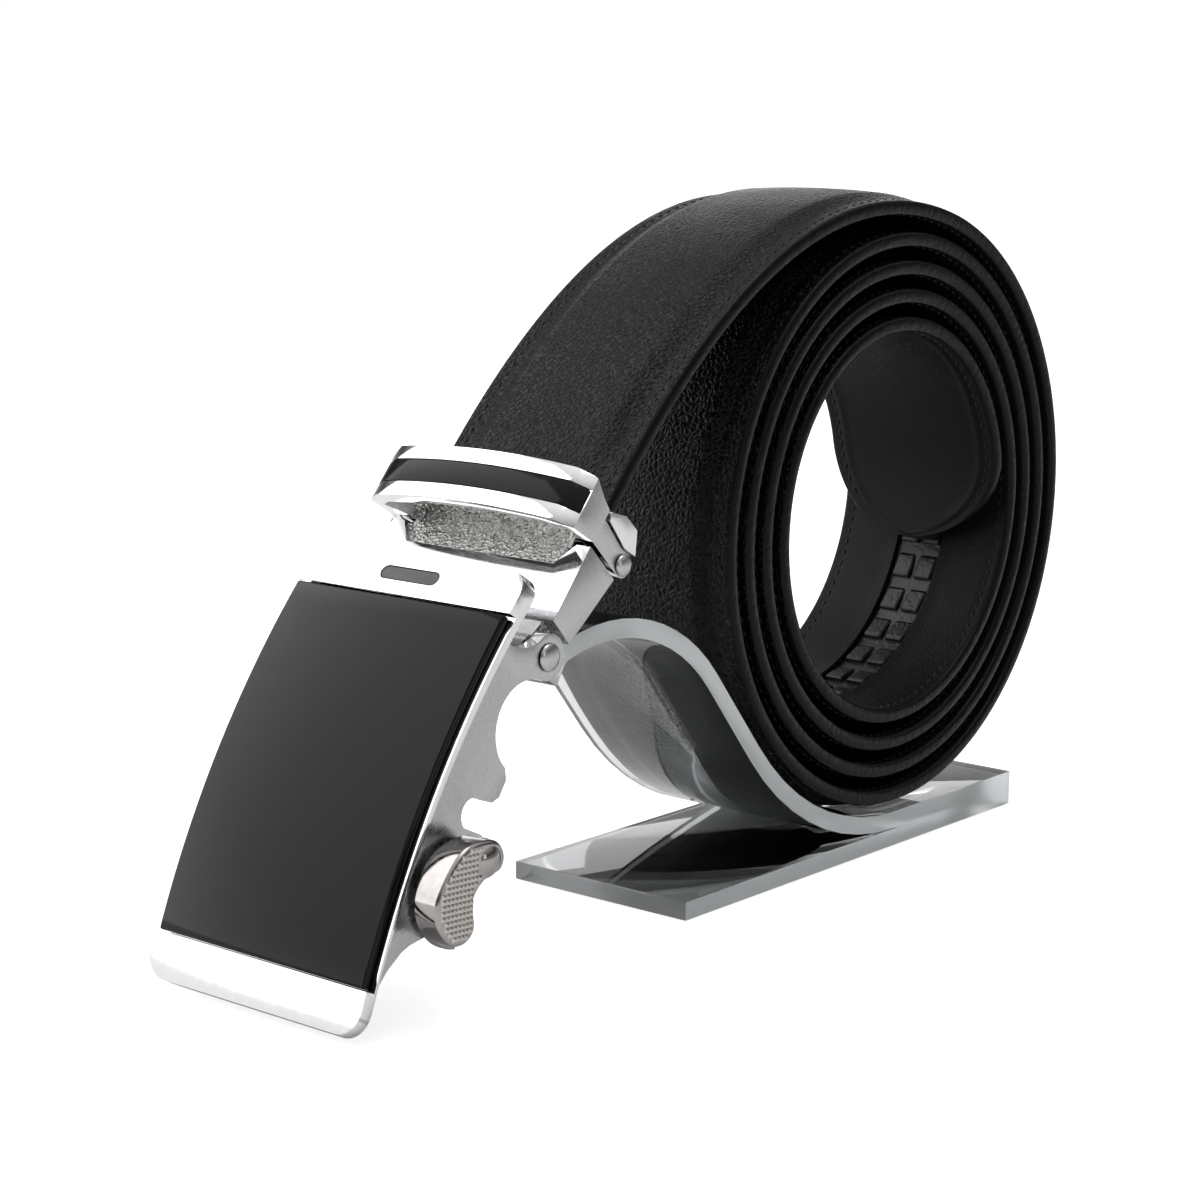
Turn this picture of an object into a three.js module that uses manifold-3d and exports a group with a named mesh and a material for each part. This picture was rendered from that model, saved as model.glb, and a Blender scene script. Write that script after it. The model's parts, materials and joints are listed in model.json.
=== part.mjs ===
// Ratchet belt on a clear display stand, in millimetres, +Z up.
// The belt is drawn about the axis of its coil: +X runs from the buckle to the coil,
// Y is the belt's width, and the strap is wound clockwise as seen from -Y.

import * as THREE from 'three';
import { mergeVertices } from 'three/addons/utils/BufferGeometryUtils.js';
import Module from 'manifold-3d';

const wasm = await Module();
wasm.setup();

// Clearances
const seatGap = 0.3;
const inlayGap = 0.15;
const runGap = 0.4;

// How far joined solids run into each other, and cutters run past a face
const bite = 0.1;
const past = 1;

// Strap
const strapWidth = 35;
const strapEdge = 2.4;
const padRise = 1.5;
const stitchMargin = 3.6;
const padShoulder = 3.2;
const tipLength = 16;

// Coil
const coilRadius = 52.1;
const coilFlattening = 0.9;
const turnGap = 0.74;
const coilTurns = 4.3;
const peelTurn = 0.045;
const turnPitch = strapEdge + padRise + turnGap;
const coilStepsPerTurn = 40;

// Ratchet track sewn into the lining
const trackFromTip = 100;
const trackLength = 216;
const trackGrooveDepth = 1.6;
const trackBaseThickness = 0.5;
const trackMargin = 0.5;
const toothWidth = 3.5;
const toothLength = 4.6;
const toothPitch = 6.5;
const toothColumnGap = 1;

// Place of the clamp and of the plate hung from it
const clampFromCoil = 32.2;
const clampRise = 4.9;
const clampPlace = { x: -coilRadius - clampFromCoil, z: clampRise };
const clampSlope = 50.3;
const plateSlope = 59;

// Clamp
const clampLength = 12.9;
const clampFaceThickness = 1.5;
const clampSideThickness = 1.7;
const clampEndThickness = 0.8;
const clampHeelDepth = 5.2;
const clampMouthDepth = 7.7;
const clampSkew = 0.8;
const strapInset = 0.4;

// Hinge between clamp and plate
const hingeReach = 18;
const hingeDrop = 1.3;
const barrelRadius = 2.8;
const barrelWidth = 34.6;
const hingePinRadius = 1.2;
const hingeHeadRadius = 2.1;
const rivetDome = 0.8;
const webBite = 0.5;

// Keeper loop
const keeperWidth = 40;
const keeperLength = 9;
const keeperOverhang = 0.7;
const keeperRise = 9.1;
const keeperBow = 1.7;
const keeperWall = 1.9;
const keeperSideWall = 1.8;
const keeperBackThickness = 0.7;
const keeperCornerInset = 2.8;
const keeperCornerDrop = 2.1;
const keeperSideFoot = 0.2;
const keeperHoleWidth = 29;
const recessReach = 3.8;
const bandWidth = 4.1;
const bandThickness = 0.7;

// Toothed clamp door
const doorPinPlace = { u: 1.3, n: -7.5 };
const doorPinRadius = 0.9;
const doorHeadRadius = 1.7;
const doorBarrelRadius = 1.9;
const doorToothCount = 6;
const doorToothWidth = 2;
const doorBossWall = 1;

// Front plate of the buckle
const plateWidth = 42;
const plateLength = 68.3;
const plateTopReach = 8.8;
const plateRise = 14;
const plateBowRadius = 150;
const plateThicknessTop = 3.2;
const plateThicknessBottom = 2.1;
const plateCornerRadius = 4;
const topStrip = 7;
const bottomStrip = 6.5;
const glassThickness = 1.4;
const glassInset = 0.8;
const slotLength = 11;
const slotWidth = 2;
const slotDepth = 0.8;

// Side walls of the buckle
const wallThickness = 1.95;
const wallInset = 0.3;
const earRadius = 3.4;
const scallopRadius = 6.9;
const smallScallopRadius = 2.4;
const wallSink = 2;

// Release lever
const axlePlace = { x: -36, z: 2.2 };
const axleRadius = 1.5;
const axleHeadRadius = 2.6;
const axleHeadThickness = 0.8;
const leverDiscRadius = 7.6;
const leverDiscThickness = 1.5;
const leverPadThickness = 4.4;
const pawlWidth = 18;
const pawlLength = 6.5;
const pawlThickness = 1.6;
const pawlTilt = 35;

// Display stand
const standWidth = 35;
const standThickness = 3;
const crestFromCoil = 24.9;
const crestDrop = 7.4;
const crestRadius = 34;
const crestEndAngle = 108;
const lipRadius = 5;
const lipEndAngle = 149;
const lipLength = 3;
const standFootReach = 38;
const standBaseReach = 58;

const degrees = THREE.MathUtils.degToRad;

// Materials
function finish(color, roughness, metalness, extra = {}) {
  return new THREE.MeshStandardMaterial({ color, roughness, metalness, ...extra });
}
const chrome = finish(0xd9dade, 0.12, 1);
const satinMetal = finish(0xb9babd, 0.35, 1);
const leatherBlack = finish(0x151517, 0.55, 0);
const trackBlack = finish(0x1b1b1d, 0.35, 0);
const glassBlack = finish(0x0b0b10, 0.06, 0);
const bandBlack = finish(0x161618, 0.12, 0);
const slotGrey = finish(0x55565a, 0.4, 0.2);
const darkChrome = finish(0x8f8d8c, 0.22, 1);
const clearAcrylic = finish(0xeef2f4, 0.08, 0, { transparent: true, opacity: 0.45 });

// Closed mesh to solid and back, for joins and cuts
function solidOf(geometry) {
  const bare = geometry.clone();
  for (const name of ['normal', 'uv']) {
    bare.deleteAttribute(name);
  }
  const merged = mergeVertices(bare, 1e-4);
  const vertProperties = new Float32Array(merged.attributes.position.array);
  const triVerts = new Uint32Array(merged.index.array);
  return new wasm.Manifold(new wasm.Mesh({ numProp: 3, vertProperties, triVerts }));
}

function geometryOf(solid) {
  const mesh = solid.getMesh();
  const geometry = new THREE.BufferGeometry();
  geometry.setAttribute('position', new THREE.BufferAttribute(new Float32Array(mesh.vertProperties), 3));
  geometry.setIndex(new THREE.BufferAttribute(new Uint32Array(mesh.triVerts), 1));
  return geometry;
}

function join(geometries) {
  return geometryOf(wasm.Manifold.union(geometries.map(solidOf)));
}

function cut(geometry, cutters) {
  return geometryOf(solidOf(geometry).subtract(wasm.Manifold.union(cutters.map(solidOf))));
}

function overlapOf(first, second) {
  return geometryOf(solidOf(first).intersect(solidOf(second)));
}

// A shape drawn in X and Z, extruded across the belt from one Y to another
function across(shape, yFrom, yTo, curveSegments = 8) {
  const options = { depth: yTo - yFrom, bevelEnabled: false, curveSegments };
  const geometry = new THREE.ExtrudeGeometry(shape, options);
  geometry.rotateX(Math.PI / 2);
  return geometry.translate(0, yTo, 0);
}

// A shape drawn in Y and Z, extruded along X
function along(shape, xFrom, xTo, curveSegments = 8) {
  const options = { depth: xTo - xFrom, bevelEnabled: false, curveSegments };
  const geometry = new THREE.ExtrudeGeometry(shape, options);
  geometry.rotateY(Math.PI / 2);
  geometry.rotateX(Math.PI / 2);
  return geometry.translate(xFrom, 0, 0);
}

function polygon(points) {
  return new THREE.Shape(points.map(([x, z]) => new THREE.Vector2(x, z)));
}

function block(xFrom, xTo, yFrom, yTo, zFrom, zTo) {
  const geometry = new THREE.BoxGeometry(xTo - xFrom, yTo - yFrom, zTo - zFrom);
  return geometry.translate((xFrom + xTo) / 2, (yFrom + yTo) / 2, (zFrom + zTo) / 2);
}

// A round bar along Y
function bar(radius, yFrom, yTo, x, z, sides = 20) {
  const geometry = new THREE.CylinderGeometry(radius, radius, yTo - yFrom, sides);
  return geometry.translate(x, (yFrom + yTo) / 2, z);
}

// A pin along Y whose two ends are domed heads
function rivetPin(pinRadius, headRadius, seatY, x, z) {
  const steps = 4;
  const profile = [];
  for (let i = 0; i <= steps; i += 1) {
    const angle = (i / steps) * Math.PI / 2;
    profile.push(new THREE.Vector2(headRadius * Math.sin(angle), -seatY - rivetDome * Math.cos(angle)));
  }
  profile.push(new THREE.Vector2(pinRadius, -seatY));
  profile.push(new THREE.Vector2(pinRadius, seatY));
  for (let i = steps; i >= 0; i -= 1) {
    const angle = (i / steps) * Math.PI / 2;
    profile.push(new THREE.Vector2(headRadius * Math.sin(angle), seatY + rivetDome * Math.cos(angle)));
  }
  profile[0].x = 0;
  profile[profile.length - 1].x = 0;
  return new THREE.LatheGeometry(profile, 16).translate(x, 0, z);
}

// Frames are points of the strap's outer edge line with the outward normal there.
// A section ring holds [y, height above that line] and runs round the section once.
function sweep(frames, ringAt) {
  const rings = frames.map((frame, i) => ringAt(frame, i));
  const size = rings[0].length;
  const positions = [];
  frames.forEach((frame, i) => {
    for (const [y, height] of rings[i]) {
      positions.push(frame.x + frame.nx * height, y, frame.z + frame.nz * height);
    }
  });
  const index = [];
  for (let i = 0; i + 1 < frames.length; i += 1) {
    for (let k = 0; k < size; k += 1) {
      const next = (k + 1) % size;
      const a = i * size + k;
      const b = i * size + next;
      const c = (i + 1) * size + k;
      const d = (i + 1) * size + next;
      index.push(a, b, c, b, d, c);
    }
  }
  const outline = rings[0].map(([y, height]) => new THREE.Vector2(y, height));
  const startCap = THREE.ShapeUtils.triangulateShape(outline, []);
  const endOutline = rings[rings.length - 1].map(([y, height]) => new THREE.Vector2(y, height));
  const endCap = THREE.ShapeUtils.triangulateShape(endOutline, []);
  const last = (frames.length - 1) * size;
  for (const [a, b, c] of startCap) {
    index.push(a, c, b);
  }
  for (const [a, b, c] of endCap) {
    index.push(last + a, last + b, last + c);
  }
  const geometry = new THREE.BufferGeometry();
  geometry.setAttribute('position', new THREE.Float32BufferAttribute(positions, 3));
  geometry.setIndex(index);
  return geometry;
}

// Route of the strap's outer edge line: straight in the clamp, one long bend up to
// the top of the coil, then the coil's turns
const slopeU = { x: Math.cos(degrees(clampSlope)), z: Math.sin(degrees(clampSlope)) };
const strapStartU = -(clampLength - clampEndThickness - strapInset);
const strapFaceN = -(clampFaceThickness + strapInset);
const leadStartU = keeperLength - keeperOverhang + webBite;
const leadHandleLow = 26;
const leadHandleHigh = 44;
const leadSteps = 12;

function clampPoint(u, n) {
  return {
    x: clampPlace.x + u * slopeU.x - n * slopeU.z,
    z: clampPlace.z + u * slopeU.z + n * slopeU.x,
  };
}

// The coil is a spiral whose top is pressed in a little
function coilFrame(turn) {
  const angle = turn * 2 * Math.PI;
  const nx = Math.sin(angle);
  const nz = Math.cos(angle);
  const pressed = coilFlattening * ((1 + nz) / 2) ** 2;
  const radius = coilRadius - turnPitch * turn - pressed;
  return { x: radius * nx, z: radius * nz, nx, nz };
}

function straightFrames() {
  return [strapStartU, 0, leadStartU].map((u) => {
    const point = clampPoint(u, strapFaceN);
    return { ...point, nx: -slopeU.z, nz: slopeU.x, u };
  });
}

function leadFrames() {
  const start = clampPoint(leadStartU, strapFaceN);
  const end = coilFrame(peelTurn);
  const curve = new THREE.CubicBezierCurve(
    new THREE.Vector2(start.x, start.z),
    new THREE.Vector2(start.x + leadHandleLow * slopeU.x, start.z + leadHandleLow * slopeU.z),
    new THREE.Vector2(end.x - leadHandleHigh * end.nz, end.z + leadHandleHigh * end.nx),
    new THREE.Vector2(end.x, end.z),
  );
  const frames = [];
  for (let i = 1; i < leadSteps; i += 1) {
    const t = i / leadSteps;
    const point = curve.getPoint(t);
    const tangent = curve.getTangent(t);
    frames.push({ x: point.x, z: point.y, nx: -tangent.y, nz: tangent.x });
  }
  return frames;
}

// Length along the lining from the top of the coil, and the turn at a length
const liningRadius = coilRadius - strapEdge - coilFlattening * 3 / 8;

function coilLength(turn) {
  return 2 * Math.PI * (liningRadius - turnPitch * turn / 2) * turn;
}

function turnAtLength(length) {
  const root = Math.sqrt(liningRadius ** 2 - turnPitch * length / Math.PI);
  return (liningRadius - root) / turnPitch;
}

const tipTurn = coilTurns;
const tipStartTurn = turnAtLength(coilLength(tipTurn) - tipLength);

function coilFrames() {
  const frames = [];
  const count = Math.floor((tipStartTurn - peelTurn) * coilStepsPerTurn);
  for (let i = 0; i <= count; i += 1) {
    frames.push(coilFrame(peelTurn + i / coilStepsPerTurn));
  }
  for (const angle of [0, 25, 45, 60, 72, 80]) {
    const length = coilLength(tipStartTurn) + tipLength * Math.sin(degrees(angle));
    frames.push({ ...coilFrame(turnAtLength(length)), narrow: Math.cos(degrees(angle)) });
  }
  return frames;
}

// The padded section lies flat in the clamp and fills out past the keeper loop
function strapRing(rise, narrow) {
  const half = strapWidth / 2 * narrow;
  const margin = half - stitchMargin * narrow;
  const pad = margin - padShoulder * narrow;
  return [
    [-half, -strapEdge], [half, -strapEdge], [half, 0],
    [margin, bite / 2], [pad, rise * 0.75], [0, rise], [-pad, rise * 0.75],
    [-margin, bite / 2], [-half, 0],
  ];
}

const padStartFrames = 3;
const trackWidth = 2 * toothWidth + toothColumnGap + 2 * trackMargin;
const trackEndTurn = turnAtLength(coilLength(tipTurn) - trackFromTip);
const trackStartTurn = turnAtLength(coilLength(tipTurn) - trackFromTip - trackLength);

function trackFrames(extra) {
  const steps = Math.ceil((trackEndTurn - trackStartTurn) * coilStepsPerTurn);
  const frames = [];
  for (let i = 0; i <= steps; i += 1) {
    const from = trackStartTurn - extra;
    const to = trackEndTurn + extra;
    frames.push(coilFrame(from + (to - from) * i / steps));
  }
  return frames;
}

function band(width, lowHeight, highHeight) {
  const half = width / 2;
  return [[-half, lowHeight], [half, lowHeight], [half, highHeight], [-half, highHeight]];
}

function strap() {
  const frames = [...straightFrames(), ...leadFrames(), ...coilFrames()];
  const body = sweep(frames, (frame, i) => {
    const filled = THREE.MathUtils.clamp((i - padStartFrames) / 2 + 0.35, 0, 1);
    const narrow = frame.narrow ?? 1;
    const rise = i < padStartFrames ? bite : padRise * filled * narrow;
    return strapRing(rise, narrow);
  });
  const grooveRing = band(trackWidth + 2 * seatGap, -strapEdge - past, -strapEdge + trackGrooveDepth);
  const groove = sweep(trackFrames(0.001), () => grooveRing);
  return cut(body, [groove]);
}

// Two columns of ratchet teeth on one flexible base, flush with the lining
function ratchetTrack() {
  const baseTop = -strapEdge + trackGrooveDepth - seatGap;
  const baseRing = band(trackWidth, baseTop - trackBaseThickness, baseTop);
  const pieces = [sweep(trackFrames(-0.001), () => baseRing)];
  const rows = Math.floor((trackLength - 2 * seatGap) / toothPitch);
  const firstLength = coilLength(trackStartTurn) + (trackLength - (rows - 1) * toothPitch) / 2;
  const tall = baseTop - bite + strapEdge;
  for (let row = 0; row < rows; row += 1) {
    const frame = coilFrame(turnAtLength(firstLength + row * toothPitch));
    const height = -strapEdge + tall / 2;
    for (const side of [-1, 1]) {
      const tooth = new THREE.BoxGeometry(toothLength, toothWidth, tall);
      tooth.rotateY(Math.atan2(frame.nx, frame.nz));
      const y = side * (toothColumnGap + toothWidth) / 2;
      pieces.push(tooth.translate(frame.x + frame.nx * height, y, frame.z + frame.nz * height));
    }
  }
  return join(pieces);
}

// Clamp: a flat sleeve over the strap's end, with a barrel for the hinge pin.
// Here X runs up the strap and Z outward, from the mouth of the polished face.
const sleeveHalf = strapWidth / 2 + strapInset;
const clampHalf = sleeveHalf + clampSideThickness;

// The keeper's rough floor runs down into the face as a shallow recess with slanted ends
function recessBlock() {
  const narrow = keeperHoleWidth / 2;
  const wide = sleeveHalf;
  const shape = new THREE.Shape([
    new THREE.Vector2(-recessReach, -narrow), new THREE.Vector2(past, -wide),
    new THREE.Vector2(past, wide), new THREE.Vector2(-recessReach, narrow),
  ]);
  const depth = clampFaceThickness - keeperBackThickness;
  const geometry = new THREE.ExtrudeGeometry(shape, { depth: depth + past, bevelEnabled: false });
  return geometry.translate(0, 0, -depth);
}

function clampBody() {
  const sleeve = across(polygon([
    [-seatGap, 0], [-clampLength, 0],
    [-clampLength - clampSkew, -clampHeelDepth], [-seatGap - clampSkew, -clampMouthDepth],
  ]), -clampHalf, clampHalf);
  const web = across(polygon([
    [-hingeReach, -hingeDrop - barrelRadius * 0.8], [-hingeReach, -hingeDrop + barrelRadius * 0.8],
    [-clampLength + webBite, -webBite], [-clampLength, -clampHeelDepth + webBite],
  ]), -barrelWidth / 2, barrelWidth / 2);
  const barrel = bar(barrelRadius, -barrelWidth / 2, barrelWidth / 2, -hingeReach, -hingeDrop, 24);
  const strapRoomTop = -clampFaceThickness;
  const strapRoomBottom = strapFaceN - strapEdge - seatGap;
  const strapRoom = block(-clampLength + clampEndThickness, past, -sleeveHalf, sleeveHalf,
    strapRoomBottom, strapRoomTop);
  const bore = bar(hingePinRadius + seatGap, -clampHalf, clampHalf, -hingeReach, -hingeDrop, 20);
  const recess = recessBlock();
  return cut(join([sleeve, web, barrel]), [strapRoom, bore, recess]);
}

// Keeper loop: bowed front bar, slanted sides and a back wall in front of the strap
const keeperHalf = keeperWidth / 2;
const keeperTopU = keeperLength - keeperOverhang;
const keeperCornerY = keeperHalf - keeperCornerInset;
const keeperChamferN = keeperRise - keeperBow - keeperCornerDrop;
const chamferShare = 0.6;
const keeperHoleFloor = keeperBackThickness - clampFaceThickness;
const keeperInner = keeperHalf - keeperSideWall - runGap;

function keeperOutline(offset) {
  const shape = new THREE.Shape();
  const half = keeperHalf - offset;
  const corner = keeperCornerY - offset * chamferShare;
  const shoulder = keeperRise - keeperBow - offset;
  const crown = keeperRise - offset;
  shape.moveTo(-half, keeperSideFoot);
  shape.lineTo(-keeperInner, keeperSideFoot);
  shape.lineTo(-keeperInner, -clampFaceThickness);
  shape.lineTo(keeperInner, -clampFaceThickness);
  shape.lineTo(keeperInner, keeperSideFoot);
  shape.lineTo(half, keeperSideFoot);
  shape.lineTo(half, keeperChamferN - offset * chamferShare);
  shape.lineTo(corner, shoulder);
  shape.quadraticCurveTo(0, 2 * crown - shoulder, -corner, shoulder);
  shape.lineTo(-half, keeperChamferN - offset * chamferShare);
  return shape;
}

function keeperHole() {
  const corner = keeperCornerY - keeperWall * chamferShare;
  const shoulder = keeperRise - keeperBow - keeperWall;
  const crown = keeperRise - keeperWall;
  const waist = keeperHalf - keeperWall;
  const shape = new THREE.Shape();
  shape.moveTo(-keeperHoleWidth / 2, keeperHoleFloor);
  shape.lineTo(keeperHoleWidth / 2, keeperHoleFloor);
  shape.lineTo(waist, keeperChamferN - keeperWall * chamferShare);
  shape.lineTo(corner, shoulder);
  shape.quadraticCurveTo(0, 2 * crown - shoulder, -corner, shoulder);
  shape.lineTo(-waist, keeperChamferN - keeperWall * chamferShare);
  return shape;
}

const bandFromU = -keeperOverhang + (keeperLength - bandWidth) / 2;

// Side outlines of keeper and door hold shares of the keeper's length and rise
function sidePoint({ up, out }) {
  return [up * keeperLength, out * keeperRise];
}

const keeperBrow = [{ up: 0.889, out: 0.615 }, { up: 0.722, out: 0.264 }];
const keeperHeel = [{ up: 0.022, out: 0.033 }, { up: -keeperOverhang / keeperLength, out: 0.659 }];
const tabTop = { up: 0.022, out: 0.044 };
const tabFront = [{ up: 0.328, out: -0.648 }, { up: 0.456, out: -0.049 }, { up: 0.456, out: 0.044 }];

function keeperSweep(outline) {
  return along(outline, -keeperOverhang - past, keeperLength + past, 10);
}

function keeperLoop() {
  const halfOver = keeperHalf + past;
  const sideView = across(polygon([
    [-keeperOverhang, keeperRise + past], [keeperTopU, keeperRise + past],
    ...keeperBrow.map(sidePoint),
    [keeperLength * 0.644, keeperSideFoot], [keeperLength * 0.622, -clampFaceThickness],
    [keeperLength * 0.011, -clampFaceThickness],
    ...keeperHeel.map(sidePoint),
  ]), -halfOver, halfOver);
  const loop = overlapOf(keeperSweep(keeperOutline(0)), sideView);
  const tab = new THREE.Shape();
  const bossRadius = doorPinRadius + doorBossWall;
  tab.moveTo(...sidePoint(tabTop));
  tab.lineTo(doorPinPlace.u - bossRadius, doorPinPlace.n);
  tab.absarc(doorPinPlace.u, doorPinPlace.n, bossRadius, Math.PI, 2 * Math.PI, false);
  for (const corner of tabFront) {
    tab.lineTo(...sidePoint(corner));
  }
  const tabs = [-1, 1].map((side) => {
    const inner = side * (keeperHalf - keeperSideWall);
    return across(tab, Math.min(inner, side * keeperHalf), Math.max(inner, side * keeperHalf));
  });
  const hole = keeperSweep(keeperHole());
  const bores = bar(doorPinRadius + seatGap, -halfOver, halfOver, doorPinPlace.u, doorPinPlace.n, 16);
  const grooveTop = keeperRise + 2 * past;
  const groove = overlapOf(
    keeperSweep(keeperOutline(-past)),
    block(bandFromU, bandFromU + bandWidth, -halfOver, halfOver, keeperChamferN, grooveTop),
  );
  const grooveFloor = keeperSweep(keeperOutline(bandThickness + seatGap));
  const grooveCut = cut(groove, [grooveFloor]);
  return cut(join([loop, ...tabs]), [hole, bores, grooveCut]);
}

function keeperBand() {
  const halfOver = keeperHalf + past;
  const strip = overlapOf(
    keeperSweep(keeperOutline(0)),
    block(bandFromU + inlayGap, bandFromU + bandWidth - inlayGap, -halfOver, halfOver,
      keeperChamferN + inlayGap, keeperRise + past),
  );
  return cut(strip, [keeperSweep(keeperOutline(bandThickness))]);
}

// Door: a toothed flap that pins the strap's back, turning on the pin behind it
const wingCorners = [
  { up: 0.517, out: -0.099 }, { up: 0.656, out: -0.044 }, { up: 0.811, out: -0.396 },
  { up: 0.789, out: -0.78 }, { up: 0.433, out: -1.011 }, { up: 0.378, out: -0.681 },
];
const flapTop = { up: 0.622, out: -0.758 };
const flapBridge = { up: 0.478, out: -0.769 };
const toothRoots = [{ up: 0.489, out: -0.813 }, { up: 0.733, out: -0.813 }];

function clampDoor() {
  const wing = polygon(wingCorners.map(sidePoint));
  const wingBack = sidePoint(wingCorners[3]);
  const wingHeel = sidePoint(wingCorners[4]);
  const inner = keeperHalf - keeperSideWall;
  const wings = [-1, 1].map((side) => across(wing,
    Math.min(side * inner, side * keeperHalf), Math.max(side * inner, side * keeperHalf)));
  const plate = across(polygon([
    [doorPinPlace.u, doorPinPlace.n + doorPinRadius], sidePoint(flapTop), wingBack, wingHeel,
    [doorPinPlace.u, doorPinPlace.n - doorBarrelRadius + 2 * bite],
  ]), -inner + runGap, inner - runGap);
  const bridge = across(polygon([sidePoint(flapBridge), wingBack, wingHeel]),
    -inner - webBite, inner + webBite);
  const barrel = bar(doorBarrelRadius, -inner + runGap, inner - runGap, doorPinPlace.u, doorPinPlace.n);
  const toothTip = strapFaceN - strapEdge - seatGap;
  const pitch = strapWidth / doorToothCount;
  const [rootLow, rootHigh] = toothRoots.map(sidePoint);
  const teeth = [];
  for (let i = 0; i < doorToothCount; i += 1) {
    const y = (i + 0.5) * pitch - strapWidth / 2;
    teeth.push(across(polygon([rootLow, [keeperLength * 0.6, toothTip], rootHigh]),
      y - doorToothWidth / 2, y + doorToothWidth / 2));
  }
  const bore = bar(doorPinRadius + seatGap, -keeperHalf, keeperHalf, doorPinPlace.u, doorPinPlace.n, 16);
  return cut(join([plate, bridge, barrel, ...wings, ...teeth]), [bore]);
}

// Front plate. Here X runs up the plate and Z outward, from the hinge axis.
const plateHalf = plateWidth / 2;
const plateBottom = plateTopReach - plateLength;
const glassTop = plateTopReach - topStrip;
const glassBottom = plateBottom + bottomStrip;
const plateMiddle = (glassTop + glassBottom) / 2;
const plateSteps = 20;

function plateFront(x) {
  const offset = x - plateMiddle;
  return plateRise - plateBowRadius + Math.sqrt(plateBowRadius ** 2 - offset ** 2);
}

function plateThickness(x) {
  const share = (x - plateBottom) / plateLength;
  return plateThicknessBottom + share * (plateThicknessTop - plateThicknessBottom);
}

function plateSlab(xFrom, xTo, topDepth, bottomDepth, half) {
  const top = [];
  const bottom = [];
  for (let i = 0; i <= plateSteps; i += 1) {
    const x = xFrom + (xTo - xFrom) * i / plateSteps;
    top.push([x, plateFront(x) - topDepth]);
    bottom.unshift([x, plateFront(x) - (bottomDepth ?? plateThickness(x))]);
  }
  return across(polygon([...top, ...bottom]), -half, half);
}

// Outline of the plate from the front, as a tall block with round corners
function plateOutline() {
  const shape = new THREE.Shape();
  const r = plateCornerRadius;
  shape.absarc(plateBottom + r, -plateHalf + r, r, Math.PI, 1.5 * Math.PI, false);
  shape.absarc(plateTopReach - r, -plateHalf + r, r, 1.5 * Math.PI, 2 * Math.PI, false);
  shape.absarc(plateTopReach - r, plateHalf - r, r, 0, 0.5 * Math.PI, false);
  shape.absarc(plateBottom + r, plateHalf - r, r, 0.5 * Math.PI, Math.PI, false);
  const depth = 2 * plateRise;
  const geometry = new THREE.ExtrudeGeometry(shape, { depth, bevelEnabled: false, curveSegments: 6 });
  return geometry.translate(0, 0, -depth / 4);
}

function slotOutline(grow) {
  const shape = new THREE.Shape();
  const r = slotWidth / 2 + grow;
  const reach = (slotLength - slotWidth) / 2;
  const x = (plateTopReach + glassTop) / 2;
  shape.absarc(x, -reach, r, Math.PI, 2 * Math.PI, false);
  shape.absarc(x, reach, r, 0, Math.PI, false);
  const depth = 2 * plateRise;
  return new THREE.ExtrudeGeometry(shape, { depth, bevelEnabled: false, curveSegments: 5 });
}

// One side wall: hinge ear, big scallop, hooked lug, small scallop, blunt lobe at the axle.
// Its corners hold shares of the way from hinge to axle and of the plate's rise.
const axleReach = -axlePlace.x;
const earTop = { up: -0.047, out: 0.3 };
const scallopCentre = { up: -0.286, out: -0.086 };
const lugCorners = [{ up: -0.511, out: -0.043 }, { up: -0.583, out: -0.036 }, { up: -0.617, out: 0.036 }];
const smallScallopCentre = { up: -0.694, out: 0.243 };
const lobeCorners = [
  { up: -0.747, out: 0.021 }, { up: -0.76, out: -0.08 }, { up: -0.811, out: -0.143 },
  { up: -1.072, out: -0.143 }, { up: -1.135, out: -0.08 }, { up: -1.17, out: 0.06 },
  { up: -1.194, out: 0.271 }, { up: -1.25, out: 0.443 }, { up: -1.289, out: 0.521 },
  { up: -1.369, out: 0.614 },
];
const wallEndShare = -1.469;

function wallPoint({ up, out }) {
  return [up * axleReach, out * plateRise];
}

function wallOutline() {
  const shape = new THREE.Shape();
  const scallop = wallPoint(scallopCentre);
  const smallScallop = wallPoint(smallScallopCentre);
  const earAngle = degrees(50);
  const topX = earTop.up * axleReach;
  const endX = wallEndShare * axleReach;
  shape.moveTo(topX, plateFront(topX) - wallSink);
  const earFront = [earRadius * Math.cos(earAngle), earRadius * Math.sin(earAngle)];
  shape.quadraticCurveTo(...wallPoint(earTop), ...earFront);
  shape.absarc(0, 0, earRadius, earAngle, degrees(-170), true);
  shape.absarc(...scallop, scallopRadius, degrees(5), degrees(166), false);
  for (const corner of lugCorners) {
    shape.lineTo(...wallPoint(corner));
  }
  shape.absarc(...smallScallop, smallScallopRadius, degrees(-15), degrees(160), false);
  for (const corner of lobeCorners) {
    shape.lineTo(...wallPoint(corner));
  }
  shape.lineTo(endX, plateFront(endX) - wallSink);
  shape.lineTo(plateMiddle, plateFront(plateMiddle) - wallSink);
  return shape;
}

const wallOuter = plateHalf - wallInset;
const wallInner = wallOuter - wallThickness;

function buckleFrame() {
  const plate = overlapOf(plateSlab(plateBottom, plateTopReach, 0, undefined, plateHalf), plateOutline());
  const pocket = plateSlab(glassBottom - inlayGap, glassTop + inlayGap, -past, glassThickness + seatGap,
    plateHalf + past);
  const slot = overlapOf(slotOutline(inlayGap), plateSlab(glassTop, plateTopReach, -past,
    slotDepth + seatGap, plateHalf));
  const walls = [
    across(wallOutline(), -wallOuter, -wallInner, 12),
    across(wallOutline(), wallInner, wallOuter, 12),
  ];
  const bores = [
    bar(hingePinRadius + seatGap, -plateHalf, plateHalf, 0, 0, 20),
    bar(axleRadius + seatGap, -plateHalf, plateHalf, axlePlace.x, axlePlace.z, 20),
  ];
  return cut(join([cut(plate, [pocket, slot]), ...walls]), bores);
}

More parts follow.
